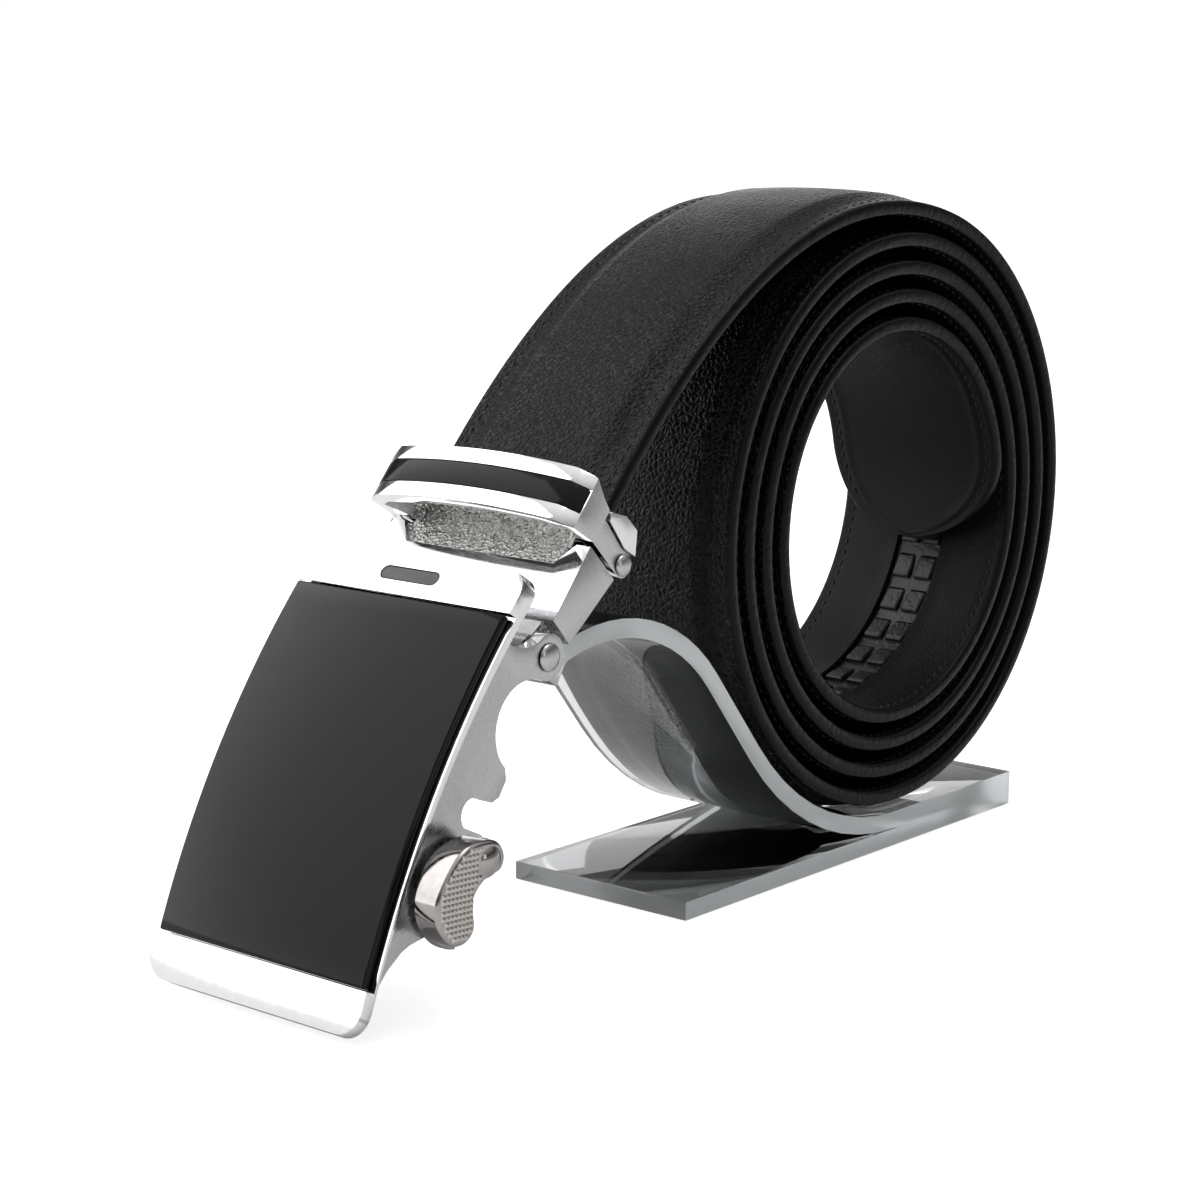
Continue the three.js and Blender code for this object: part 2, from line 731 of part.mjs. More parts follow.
function glassPanel() {
  return plateSlab(glassBottom + inlayGap, glassTop - inlayGap, 0, glassThickness, plateHalf - glassInset);
}

function slotInlay() {
  return overlapOf(slotOutline(0), plateSlab(glassTop, plateTopReach, bite, slotDepth, plateHalf));
}

// Lever: thumb pad and disc outside the near wall, axle through both walls.
// The pad's outline holds shares of the disc's radius, from the axle.
const padCorners = [
  { up: -0.816, out: 0.842 }, { up: -0.987, out: 0.395 }, { up: -0.842, out: 0.039 },
  { up: -0.513, out: -0.066 }, { up: -0.053, out: 0.224 }, { up: 0.368, out: 0.105 },
  { up: 0.658, out: -0.184 }, { up: 0.961, out: -0.105 }, { up: 1.066, out: 0.263 },
  { up: 0.724, out: 0.855 }, { up: 0.132, out: 1.118 }, { up: -0.434, out: 1.132 },
];

function leverPadOutline() {
  const points = padCorners.map(({ up, out }) => new THREE.Vector2(
    axlePlace.x + up * leverDiscRadius, axlePlace.z + out * leverDiscRadius,
  ));
  const shape = new THREE.Shape();
  shape.moveTo(points[0].x, points[0].y);
  shape.splineThru([...points.slice(1), points[0]]);
  return shape;
}

function leverDiscOutline() {
  const shape = new THREE.Shape();
  shape.absarc(axlePlace.x, axlePlace.z, leverDiscRadius, degrees(-22), degrees(202), false);
  return shape;
}

function releaseLever() {
  const discFace = -wallOuter - seatGap - wallInset;
  const padFace = discFace - leverDiscThickness;
  const farSeat = wallOuter + seatGap;
  const pad = across(leverPadOutline(), padFace - leverPadThickness, padFace + bite, 2);
  const disc = across(leverDiscOutline(), padFace, discFace, 28);
  const axle = bar(axleRadius, discFace - bite, farSeat + bite, axlePlace.x, axlePlace.z, 20);
  const head = bar(axleHeadRadius, farSeat, farSeat + axleHeadThickness, axlePlace.x, axlePlace.z, 20);
  return join([pad, disc, axle, head]);
}

// Pawl fixed on the axle, under the plate
function latchPawl() {
  const half = pawlWidth / 2;
  const hub = bar(axleRadius + seatGap + pawlThickness, -half, half, axlePlace.x, axlePlace.z, 20);
  const tongue = block(0, pawlLength, -half, half, -pawlThickness / 2, pawlThickness / 2);
  tongue.rotateY(-degrees(pawlTilt));
  tongue.translate(axlePlace.x, 0, axlePlace.z);
  return cut(join([hub, tongue]), [
    bar(axleRadius + seatGap, -half - past, half + past, axlePlace.x, axlePlace.z, 20),
  ]);
}

// Stand: one bent strip of clear sheet, glued to a flat base of the same sheet
const cradleRadius = coilRadius - turnPitch / 2 + padRise + seatGap;
const floorZ = -cradleRadius - 2 * standThickness;
const crestPlace = { x: -coilRadius - crestFromCoil, z: -crestDrop };

function standOutline() {
  const crestCentre = { x: crestPlace.x, z: crestPlace.z - crestRadius };
  const spacing = Math.hypot(crestCentre.x, crestCentre.z);
  const facing = Math.atan2(-crestCentre.z, -crestCentre.x);
  const lean = facing + Math.acos((crestRadius + cradleRadius) / spacing);
  const path = [];
  path.push({ x: standFootReach, z: -cradleRadius, angle: Math.PI / 2 });
  const cradleSteps = 9;
  for (let i = 0; i <= cradleSteps; i += 1) {
    const angle = Math.PI / 2 + (lean - Math.PI / 2) * i / cradleSteps;
    path.push({ x: -cradleRadius * Math.cos(angle), z: -cradleRadius * Math.sin(angle), angle });
  }
  const crestSteps = 12;
  for (let i = 0; i <= crestSteps; i += 1) {
    const angle = lean + (degrees(crestEndAngle) - lean) * i / crestSteps;
    path.push({
      x: crestCentre.x + crestRadius * Math.cos(angle),
      z: crestCentre.z + crestRadius * Math.sin(angle),
      angle,
    });
  }
  const lipCentre = {
    x: crestCentre.x + (crestRadius - lipRadius) * Math.cos(degrees(crestEndAngle)),
    z: crestCentre.z + (crestRadius - lipRadius) * Math.sin(degrees(crestEndAngle)),
  };
  const lipSteps = 4;
  for (let i = 1; i <= lipSteps; i += 1) {
    const angle = degrees(crestEndAngle + (lipEndAngle - crestEndAngle) * i / lipSteps);
    path.push({
      x: lipCentre.x + lipRadius * Math.cos(angle),
      z: lipCentre.z + lipRadius * Math.sin(angle),
      angle,
    });
  }
  const lipEnd = path[path.length - 1];
  path.push({
    x: lipEnd.x - lipLength * Math.sin(lipEnd.angle),
    z: lipEnd.z + lipLength * Math.cos(lipEnd.angle),
    angle: lipEnd.angle,
  });
  const top = path.map(({ x, z }) => [x, z]);
  const underside = path.map(({ x, z, angle }) => [
    x - standThickness * Math.cos(angle),
    z - standThickness * Math.sin(angle),
  ]);
  return polygon([...top, ...underside.reverse()]);
}

function displayStand() {
  const half = standWidth / 2;
  const bent = across(standOutline(), -half, half);
  const base = block(-standBaseReach, standFootReach, -half, half, floorZ,
    floorZ + standThickness + bite / 10);
  return join([bent, base]);
}

// Assembly
function piece(group, name, geometry, material) {
  const mesh = new THREE.Mesh(geometry, material);
  mesh.name = name;
  group.add(mesh);
  return mesh;
}

const belt = new THREE.Group();

piece(belt, 'display_stand', displayStand(), clearAcrylic);
piece(belt, 'strap', strap(), leatherBlack);
piece(belt, 'ratchet_track', ratchetTrack(), trackBlack);

const clampGroup = new THREE.Group();
clampGroup.position.set(clampPlace.x, 0, clampPlace.z);
clampGroup.rotation.y = -degrees(clampSlope);
belt.add(clampGroup);
piece(clampGroup, 'clamp_body', clampBody(), chrome);
piece(clampGroup, 'keeper_loop', keeperLoop(), chrome);
piece(clampGroup, 'keeper_band', keeperBand(), bandBlack);
piece(clampGroup, 'clamp_door', clampDoor(), satinMetal);
piece(clampGroup, 'door_pin',
  rivetPin(doorPinRadius, doorHeadRadius, keeperHalf + inlayGap, doorPinPlace.u, doorPinPlace.n), chrome);

const hingePlace = clampPoint(-hingeReach, -hingeDrop);
const plateGroup = new THREE.Group();
plateGroup.position.set(hingePlace.x, 0, hingePlace.z);
plateGroup.rotation.y = -degrees(plateSlope);
belt.add(plateGroup);
piece(plateGroup, 'buckle_frame', buckleFrame(), chrome);
piece(plateGroup, 'glass_panel', glassPanel(), glassBlack);
piece(plateGroup, 'slot_inlay', slotInlay(), slotGrey);
piece(plateGroup, 'hinge_pin',
  rivetPin(hingePinRadius, hingeHeadRadius, wallOuter + inlayGap, 0, 0), chrome);
piece(plateGroup, 'release_lever', releaseLever(), darkChrome);
piece(plateGroup, 'latch_pawl', latchPawl(), satinMetal);

// The whole thing stands with the middle of its box over the origin
belt.updateMatrixWorld(true);
const reach = new THREE.Box3().setFromObject(belt, true);
belt.position.set(-(reach.min.x + reach.max.x) / 2, -(reach.min.y + reach.max.y) / 2, -reach.min.z);
belt.updateMatrixWorld(true);

export default belt;
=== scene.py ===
"""Ratchet belt on a clear display stand: looks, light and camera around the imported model."""
import json
import math

import bmesh
import bpy
import numpy as np
from mathutils import Matrix, Vector


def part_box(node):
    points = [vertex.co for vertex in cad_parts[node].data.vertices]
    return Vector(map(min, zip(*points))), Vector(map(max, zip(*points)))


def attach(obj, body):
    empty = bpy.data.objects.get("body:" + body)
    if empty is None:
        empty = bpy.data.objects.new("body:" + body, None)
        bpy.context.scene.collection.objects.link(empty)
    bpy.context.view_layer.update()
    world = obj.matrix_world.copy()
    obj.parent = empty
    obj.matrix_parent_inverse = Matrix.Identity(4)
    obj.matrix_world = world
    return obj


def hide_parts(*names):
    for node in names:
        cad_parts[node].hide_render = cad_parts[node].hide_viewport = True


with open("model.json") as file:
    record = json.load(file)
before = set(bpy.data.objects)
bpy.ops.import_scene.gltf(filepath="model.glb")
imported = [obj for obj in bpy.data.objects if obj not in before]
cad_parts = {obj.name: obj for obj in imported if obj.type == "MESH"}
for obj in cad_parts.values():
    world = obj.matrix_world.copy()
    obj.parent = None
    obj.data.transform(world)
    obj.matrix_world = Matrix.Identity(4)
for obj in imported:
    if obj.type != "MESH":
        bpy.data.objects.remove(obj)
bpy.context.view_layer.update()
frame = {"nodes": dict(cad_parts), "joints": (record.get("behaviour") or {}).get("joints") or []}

MM = 0.001


# The strap: black pebbled cowhide over a soft filler, folded over a smooth lining, with both
# long edges stitched and painted. It leaves the clamp flat, fills out, bends over the top and
# is wound into four turns. Its route repeats the model's, from the clamp to the rounded tip.
strap_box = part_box("strap")
stand_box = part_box("display_stand")
belt_y = (strap_box[0][1] + strap_box[1][1]) / 2
strap_half = (strap_box[1][1] - strap_box[0][1]) / 2
edge_height = 2.4 * MM
pad_rise = 1.5 * MM
stitch_margin = 3.6 * MM
pad_shoulder = 3.4 * MM
tip_length = 16 * MM
tip_patch_length = 62 * MM
coil_radius = 52.1 * MM
coil_flattening = 0.9 * MM
coil_turns = 4.3
peel_turn = 0.045
turn_pitch = edge_height + pad_rise + 0.74 * MM
seat_gap = 0.3 * MM
stand_thickness = 3 * MM
stand_foot_reach = 38 * MM
cradle_radius = coil_radius - turn_pitch / 2 + pad_rise + seat_gap
coil_x = stand_box[1][0] - stand_foot_reach
coil_z = stand_box[0][2] + cradle_radius + 2 * stand_thickness
clamp_slope = math.radians(50.3)
clamp_x = coil_x - 84.3 * MM
clamp_z = coil_z + 4.9 * MM
strap_start_u = -11.7 * MM
strap_face_n = -1.9 * MM
lead_start_u = 8.8 * MM
lead_handle_low = 26 * MM
lead_handle_high = 44 * MM
lead_length = 107 * MM
track_from_tip = 100 * MM
track_length = 216 * MM
track_half = 4.8 * MM
track_depth = 1.6 * MM
lining_radius = coil_radius - edge_height - coil_flattening * 3 / 8


def clamp_point(u, n):
    """A point of the clamp: u up the strap, n outward."""
    cos, sin = math.cos(clamp_slope), math.sin(clamp_slope)
    return np.array([clamp_x + u * cos - n * sin, clamp_z + u * sin + n * cos])


def coil_point(turn):
    """Place and outward direction on the wound strap's outer edge line."""
    out = np.array([math.sin(2 * math.pi * turn), math.cos(2 * math.pi * turn)])
    pressed = coil_flattening * ((1 + out[1]) / 2) ** 2
    radius = coil_radius - turn_pitch * turn - pressed
    return np.array([coil_x, coil_z]) + radius * out, out


def coil_length(turn):
    """Length of lining wound between the top of the coil and a turn."""
    return 2 * math.pi * (lining_radius - turn_pitch * turn / 2) * turn


def turn_at(length):
    root = math.sqrt(lining_radius ** 2 - turn_pitch * length / math.pi)
    return (lining_radius - root) / turn_pitch


def lead_point(t):
    """The long bend from the clamp up to the top of the coil, a Bezier curve."""
    start = clamp_point(lead_start_u, strap_face_n)
    up = np.array([math.cos(clamp_slope), math.sin(clamp_slope)])
    end, out = coil_point(peel_turn)
    a, b, c, d = start, start + lead_handle_low * up, end - lead_handle_high * out[::-1] * [1, -1], end
    point = (1 - t) ** 3 * a + 3 * t * (1 - t) ** 2 * b + 3 * t ** 2 * (1 - t) * c + t ** 3 * d
    slope = 3 * (1 - t) ** 2 * (b - a) + 6 * t * (1 - t) * (c - b) + 3 * t ** 2 * (d - c)
    slope /= np.linalg.norm(slope)
    return point, np.array([-slope[1], slope[0]])


def strap_route(step):
    """Rows of the route: x, z, outward x, outward z, and length along the coil, -1 before the coil."""
    rows = []
    flat_out = np.array([-math.sin(clamp_slope), math.cos(clamp_slope)])
    for u in np.arange(strap_start_u, lead_start_u, step):
        rows.append((*clamp_point(u, strap_face_n), *flat_out, -1))
    lead_count = int(lead_length / step)
    for i in range(lead_count):
        point, out = lead_point(i / lead_count)
        rows.append((*point, *out, -1))
    tip_end = coil_length(coil_turns)
    tip_start = tip_end - tip_length
    lengths = list(np.arange(coil_length(peel_turn), tip_start, step))
    lengths += [tip_start + tip_length * math.sin(math.radians(a)) for a in np.linspace(0, 87, 44)]
    for length in lengths:
        point, out = coil_point(turn_at(length))
        rows.append((*point, *out, length))
    table = np.array(rows)
    steps = np.hypot(np.diff(table[:, 0]), np.diff(table[:, 1]))
    along = np.concatenate([[0], np.cumsum(steps)])
    return table, along


def smooth_step(value):
    value = np.clip(value, 0, 1)
    return value * value * (3 - 2 * value)


def pad_fill(along):
    """How far the padding has filled out after the clamp, from 0 to 1."""
    return 0.06 + 0.94 * smooth_step((along - 19 * MM) / (17 * MM))


def outer_relief(y, half, along):
    """Height of the outer face over its edge line: seam groove, shoulder and padded middle."""
    inset = half - np.abs(y)
    margin = stitch_margin * half / strap_half
    groove = 0.13 * MM * np.exp(-((inset - 2.1 * MM) / (0.45 * MM)) ** 2)
    shoulder = smooth_step((inset - margin) / pad_shoulder)
    dome = 0.62 + 0.38 * (1 - (y / max(half - margin, MM)) ** 2)
    fold = 0.12 * MM * np.exp(-((inset - margin) / (0.5 * MM)) ** 2)
    return pad_rise * pad_fill(along) * shoulder * dome - groove - fold


def lining_relief(y, half, length):
    """Height of the lining: seam groove, and a raised line that follows the tip's outline."""
    inset = half - np.abs(y)
    groove = 0.1 * MM * np.exp(-((inset - 2.1 * MM) / (0.4 * MM)) ** 2)
    tip_end = coil_length(coil_turns)
    to_end = tip_end - length
    ridge_at = 3.4 * MM
    if length < 0 or to_end > tip_patch_length:
        ridge = 0
    else:
        ridge = 0.22 * MM * np.exp(-((inset - ridge_at) / (0.55 * MM)) ** 2)
        ridge = ridge * smooth_step((tip_patch_length - to_end) / (8 * MM))
    return groove - ridge


edge_roll = 0.55 * MM
edge_angles = (62, 40, 20, 0, -20, -40, -62)
outer_ys = np.concatenate([
    np.linspace(-1, -0.775, 9), np.linspace(-0.75, -0.55, 7), np.linspace(-0.45, 0.45, 9),
    np.linspace(0.55, 0.75, 7), np.linspace(0.775, 1, 9),
])
track_edge = track_half / strap_half
lining_ys = np.concatenate([
    np.linspace(1, 0.72, 11), [0.6, 0.45, track_edge + 0.06, track_edge + 0.02, track_edge],
    [track_edge - 0.004, 0.1, -0.1, -track_edge + 0.004],
    [-track_edge, -track_edge - 0.02, -track_edge - 0.06, -0.45, -0.6], np.linspace(-0.72, -1, 11),
])


def strap_ring(out_row, along):
    """One section of the strap as rows of across and height, running round it once."""
    length = out_row[4]
    tip_end = coil_length(coil_turns)
    to_tip = (length - (tip_end - tip_length)) / tip_length if length > 0 else 0
    narrow = math.sqrt(max(1 - to_tip ** 2, 0)) if to_tip > 0 else 1
    half = strap_half * narrow
    flat = half - edge_roll * narrow
    outer = np.array([(y * flat, outer_relief(y * flat, half, along)) for y in outer_ys])
    lining = np.array([(y * flat, -edge_height + lining_relief(y * flat, half, length)) for y in lining_ys])
    from_tip = tip_end - length
    in_track = length > 0 and track_from_tip < from_tip < track_from_tip + track_length
    inside = np.abs(lining_ys) < track_edge
    rail = np.abs(np.abs(lining_ys) - track_edge - 0.02) < 0.03
    if in_track:
        lining[inside, 1] += track_depth
        lining[rail, 1] -= 0.18 * MM
    bulge = [(flat + edge_roll * narrow * math.cos(a), -edge_height / 2 + edge_height / 2 * math.sin(a))
             for a in (math.radians(d) for d in edge_angles)]
    right = np.array(bulge)
    left = np.array([(-y, h) for y, h in reversed(bulge)])
    return np.concatenate([outer, right, lining, left])


def sweep_mesh(name, table, rings):
    """A closed mesh from rings of across and height along a route."""
    size = len(rings[0])
    verts = []
    for row, ring in zip(table, rings):
        verts.extend((row[0] + row[2] * h, belt_y + y, row[1] + row[3] * h) for y, h in ring)
    faces = []
    for i in range(len(rings) - 1):
        for k in range(size):
            j = (k + 1) % size
            faces.append((i * size + k, (i + 1) * size + k, (i + 1) * size + j, i * size + j))
    faces.append(tuple(range(size)))
    last = (len(rings) - 1) * size
    faces.append(tuple(last + k for k in reversed(range(size))))
    mesh = bpy.data.meshes.new(name)
    mesh.from_pydata(verts, [], faces)
    mesh.update()
    mesh.shade_smooth()
    obj = bpy.data.objects.new(name, mesh)
    bpy.context.collection.objects.link(obj)
    return obj


def face_outward(obj):
    """Turns a closed mesh's faces outward."""
    work = bmesh.new()
    work.from_mesh(obj.data)
    bmesh.ops.recalc_face_normals(work, faces=work.faces)
    work.to_mesh(obj.data)
    work.free()


def node_group(name, inputs, outputs):
    """A shader group with named float inputs and the outputs given as name and kind."""
    group = bpy.data.node_groups.new(name, "ShaderNodeTree")
    for label, default in inputs.items():
        socket = group.interface.new_socket(label, in_out="INPUT", socket_type="NodeSocketFloat")
        socket.default_value = default
    for label, kind in outputs.items():
        group.interface.new_socket(label, in_out="OUTPUT", socket_type=kind)
    group.nodes.new("NodeGroupInput").name = "in"
    group.nodes.new("NodeGroupOutput").name = "out"
    return group


def leather_grain_group():
    """Pebbled cells with creases between them, and a slow mottling of the dye."""
    group = node_group("leather grain", {"Cell": 1.1, "Crease": 0.5},
                       {"Height": "NodeSocketFloat", "Mottle": "NodeSocketFloat"})
    nodes, links = group.nodes, group.links
    place = nodes.new("ShaderNodeTexCoord")
    divide = nodes.new("ShaderNodeMath")
    divide.operation = "DIVIDE"
    divide.inputs[0].default_value = 1000
    links.new(nodes["in"].outputs["Cell"], divide.inputs[1])
    warp = nodes.new("ShaderNodeTexNoise")
    warp.inputs["Scale"].default_value = 500
    warp.inputs["Detail"].default_value = 2
    links.new(place.outputs["Object"], warp.inputs["Vector"])
    shift = nodes.new("ShaderNodeVectorMath")
    shift.operation = "MULTIPLY_ADD"
    shift.inputs[1].default_value = (0.0004, 0.0004, 0.0004)
    links.new(warp.outputs["Color"], shift.inputs[0])
    links.new(place.outputs["Object"], shift.inputs[2])
    cells = nodes.new("ShaderNodeTexVoronoi")
    cells.feature = "DISTANCE_TO_EDGE"
    links.new(shift.outputs["Vector"], cells.inputs["Vector"])
    links.new(divide.outputs["Value"], cells.inputs["Scale"])
    rounded = nodes.new("ShaderNodeMapRange")
    rounded.interpolation_type = "SMOOTHSTEP"
    rounded.inputs["From Max"].default_value = 0.28
    links.new(cells.outputs["Distance"], rounded.inputs["Value"])
    creases = nodes.new("ShaderNodeTexNoise")
    creases.inputs["Scale"].default_value = 230
    creases.inputs["Detail"].default_value = 5
    creases.inputs["Roughness"].default_value = 0.62
    links.new(place.outputs["Object"], creases.inputs["Vector"])
    weigh = nodes.new("ShaderNodeMath")
    weigh.operation = "MULTIPLY_ADD"
    links.new(creases.outputs["Fac"], weigh.inputs[0])
    links.new(nodes["in"].outputs["Crease"], weigh.inputs[1])
    links.new(rounded.outputs["Result"], weigh.inputs[2])
    mottle = nodes.new("ShaderNodeTexNoise")
    mottle.inputs["Scale"].default_value = 55
    mottle.inputs["Detail"].default_value = 4
    links.new(place.outputs["Object"], mottle.inputs["Vector"])
    links.new(weigh.outputs["Value"], nodes["out"].inputs["Height"])
    links.new(mottle.outputs["Fac"], nodes["out"].inputs["Mottle"])
    return group


leather_grain = leather_grain_group()


def plain_material(name, base, roughness, metallic=0.0, specular=0.5):
    """A Principled material with its plain values set, and its node tree."""
    material = bpy.data.materials.new(name)
    material.use_nodes = True
    shader = material.node_tree.nodes["Principled BSDF"]
    shader.inputs["Base Color"].default_value = (*base, 1)
    shader.inputs["Roughness"].default_value = roughness
    shader.inputs["Metallic"].default_value = metallic
    shader.inputs["Specular IOR Level"].default_value = specular
    material.diffuse_color = (*base, 1)
    return material, material.node_tree, shader


def ramp_between(tree, source, low, high, low_at=0.0, high_at=1.0):
    """Maps a value onto a range between two numbers."""
    node = tree.nodes.new("ShaderNodeMapRange")
    node.inputs["From Min"].default_value = low_at
    node.inputs["From Max"].default_value = high_at
    node.inputs["To Min"].default_value = low
    node.inputs["To Max"].default_value = high
    tree.links.new(source, node.inputs["Value"])
    return node.outputs["Result"]


def color_between(tree, source, dark, light):
    """Mixes two colours by a value."""
    node = tree.nodes.new("ShaderNodeMix")
    node.data_type = "RGBA"
    node.inputs["A"].default_value = (*dark, 1)
    node.inputs["B"].default_value = (*light, 1)
    tree.links.new(source, node.inputs["Factor"])
    return node.outputs["Result"]


def bump_from(tree, shader, height, distance, strength=1.0):
    """Feeds a height into the shader's normal."""
    bump = tree.nodes.new("ShaderNodeBump")
    bump.inputs["Distance"].default_value = distance
    bump.inputs["Strength"].default_value = strength
    tree.links.new(height, bump.inputs["Height"])
    tree.links.new(bump.outputs["Normal"], shader.inputs["Normal"])


def leather_material(name, cell, crease, depth, gloss, dark, light, rough_low, rough_high):
    """Dyed leather with grain of a given cell size in millimetres."""
    material, tree, shader = plain_material(name, dark, rough_low, specular=gloss)
    grain = tree.nodes.new("ShaderNodeGroup")
    grain.node_tree = leather_grain
    grain.inputs["Cell"].default_value = cell
    grain.inputs["Crease"].default_value = crease
    mottle = grain.outputs["Mottle"]
    tree.links.new(color_between(tree, mottle, dark, light), shader.inputs["Base Color"])
    tree.links.new(ramp_between(tree, mottle, rough_low, rough_high, 0.3, 0.7), shader.inputs["Roughness"])
    bump_from(tree, shader, grain.outputs["Height"], depth)
    return material


grain_leather = leather_material("pebbled leather", 0.95, 0.5, 0.00016, 0.17,
                                 (0.0022, 0.0022, 0.0024), (0.004, 0.004, 0.0043), 0.3, 0.44)
lining_leather = leather_material("smooth lining", 0.55, 0.5, 0.00003, 0.12,
                                  (0.0045, 0.0045, 0.0047), (0.008, 0.008, 0.0083), 0.42, 0.56)
edge_paint = leather_material("painted edge", 2.4, 0.5, 0.00004, 0.14,
                              (0.002, 0.002, 0.0022), (0.004, 0.004, 0.0042), 0.26, 0.36)

route_step = 1.6 * MM
strap_table, strap_along = strap_route(route_step)
strap_rings = [strap_ring(row, a) for row, a in zip(strap_table, strap_along)]
strap = sweep_mesh("leather_strap", strap_table, strap_rings)
face_outward(strap)
for material in (grain_leather, edge_paint, lining_leather):
    strap.data.materials.append(material)
ring_size = len(strap_rings[0])
outer_count = len(outer_ys)
lining_start = outer_count + len(edge_angles)
lining_end = lining_start + len(lining_ys)
for index, polygon in enumerate(strap.data.polygons):
    k = index % ring_size
    if index >= (len(strap_rings) - 1) * ring_size:
        polygon.material_index = 1
    elif k < outer_count - 1:
        polygon.material_index = 0
    elif lining_start <= k < lining_end - 1:
        polygon.material_index = 2
    else:
        polygon.material_index = 1
strap.data.set_sharp_from_angle(angle=math.radians(50))
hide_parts("strap")
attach(strap, "clamp_and_strap")


# The seams: waxed black thread in a lock stitch, one row along each edge, drawn down into the
# leather at every hole. The same thread shows on the outer face and on the lining.
stitch_pitch = 2.25 * MM
stitch_length = 1.75 * MM
thread_radius = 0.24 * MM
thread_sides = 6
stitch_inset = 2.1 * MM
stitch_skew = 0.1


def stitch_row(face, side, verts, faces):
    """Adds one row of stitches: face 1 is the outer face, -1 the lining."""
    total = strap_along[-1] - tip_length * 0.35
    start = 23 * MM if face > 0 else 40 * MM
    for middle in np.arange(start, total, stitch_pitch):
        ring = []
        for k in range(3):
            at = middle + (k - 1) * stitch_length / 2
            row = [np.interp(at, strap_along, strap_table[:, c]) for c in range(5)]
            length = row[4]
            to_tip = (length - coil_length(coil_turns) + tip_length) / tip_length if length > 0 else 0
            narrow = math.sqrt(max(1 - to_tip ** 2, 0)) if to_tip > 0 else 1
            half = strap_half * narrow
            y = side * (half - stitch_inset) + stitch_skew * (k - 1) * stitch_length / 2
            if face > 0:
                height = outer_relief(y, half, at)
            else:
                height = -edge_height + lining_relief(y, half, length)
            sunk = (0.06 if k == 1 else -0.14) * MM
            radius = thread_radius * (1 if k == 1 else 0.6)
            ring.append((row, y, height + face * sunk, radius))
        base = len(verts)
        for row, y, height, radius in ring:
            for s in range(thread_sides):
                angle = s * 2 * math.pi / thread_sides
                h = height + radius * math.sin(angle)
                across = y + radius * 1.15 * math.cos(angle)
                verts.append((row[0] + row[2] * h, belt_y + across, row[1] + row[3] * h))
        for k in range(2):
            for s in range(thread_sides):
                t = (s + 1) % thread_sides
                a, b = base + k * thread_sides + s, base + k * thread_sides + t
                faces.append((a, b, b + thread_sides, a + thread_sides))
        faces.append(tuple(base + s for s in reversed(range(thread_sides))))
        faces.append(tuple(base + 2 * thread_sides + s for s in range(thread_sides)))


def mesh_piece(name, verts, faces, material, smooth=True):
    """A mesh object with one material, its faces turned outward."""
    mesh = bpy.data.meshes.new(name)
    mesh.from_pydata(verts, [], faces)
    mesh.update()
    if smooth:
        mesh.shade_smooth()
    mesh.materials.append(material)
    obj = bpy.data.objects.new(name, mesh)
    bpy.context.collection.objects.link(obj)
    face_outward(obj)
    return obj


thread_black = leather_material("waxed thread", 0.35, 0.4, 0.00003, 0.24,
                                (0.003, 0.003, 0.003), (0.009, 0.009, 0.009), 0.34, 0.5)
for label, face in (("outer", 1), ("lining", -1)):
    seam_verts, seam_faces = [], []
    for side in (-1, 1):
        stitch_row(face, side, seam_verts, seam_faces)
    seam = mesh_piece(f"{label}_seam_stitches", seam_verts, seam_faces, thread_black)
    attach(seam, "clamp_and_strap")


# The ratchet track: a moulded strip with two columns of blunt, ramped teeth, sewn into a slot
# in the lining. Each tooth rises towards the tip and drops off square, for the pawl to catch.
tooth_pitch = 6.5 * MM
tooth_length = 4.9 * MM
tooth_width = 3.5 * MM
tooth_column_gap = 1 * MM
track_base_top = -edge_height + track_depth - seat_gap

track_plastic = leather_material("moulded track", 1.6, 0.3, 0.00003, 0.3,
                                 (0.006, 0.006, 0.0065), (0.012, 0.012, 0.0125), 0.26, 0.36)
track_verts, track_faces = [], []
track_from = coil_length(coil_turns) - track_from_tip - track_length
base_lengths = np.linspace(track_from + 0.5 * MM, track_from + track_length - 0.5 * MM, 150)
for length in base_lengths:
    point, out = coil_point(turn_at(length))
    for y, h in ((-1, -0.5 * MM), (1, -0.5 * MM), (1, 0), (-1, 0)):
        height = track_base_top + h
        track_verts.append((point[0] + out[0] * height, belt_y + y * (track_half - 0.3 * MM),
                            point[1] + out[1] * height))
for i in range(len(base_lengths) - 1):
    for k in range(4):
        a, b = i * 4 + k, i * 4 + (k + 1) % 4
        track_faces.append((a, b, b + 4, a + 4))
track_faces.append((0, 1, 2, 3))
track_faces.append(tuple(len(track_verts) - 4 + k for k in range(4)))
row_count = int((track_length - 2 * seat_gap) / tooth_pitch)
first_row = track_from + (track_length - (row_count - 1) * tooth_pitch) / 2
tooth_profile = (
    (-0.5, -0.35), (-0.42, 0.3), (-0.3, 0.62), (0.36, 1.0), (0.46, 0.94), (0.5, 0.8), (0.5, -0.35),
)
for row in range(row_count):
    for side in (-1, 1):
        middle_y = side * (tooth_column_gap + tooth_width) / 2
        base = len(track_verts)
        for y_end, inset in ((-0.5, 0.16), (-0.42, 0), (0.42, 0), (0.5, 0.16)):
            for share, rise in tooth_profile:
                length = first_row + row * tooth_pitch + share * tooth_length
                point, out = coil_point(turn_at(length))
                tall = track_depth - seat_gap
                height = track_base_top - 0.1 * MM - (rise - (inset if rise > 0 else 0)) * (tall - 0.1 * MM)
                track_verts.append((point[0] + out[0] * height, belt_y + middle_y + y_end * tooth_width,
                                    point[1] + out[1] * height))
        n = len(tooth_profile)
        for k in range(3):
            for s in range(n):
                t = (s + 1) % n
                track_faces.append((base + k * n + s, base + k * n + t,
                                    base + (k + 1) * n + t, base + (k + 1) * n + s))
        track_faces.append(tuple(base + s for s in range(n)))
        track_faces.append(tuple(base + 3 * n + s for s in reversed(range(n))))
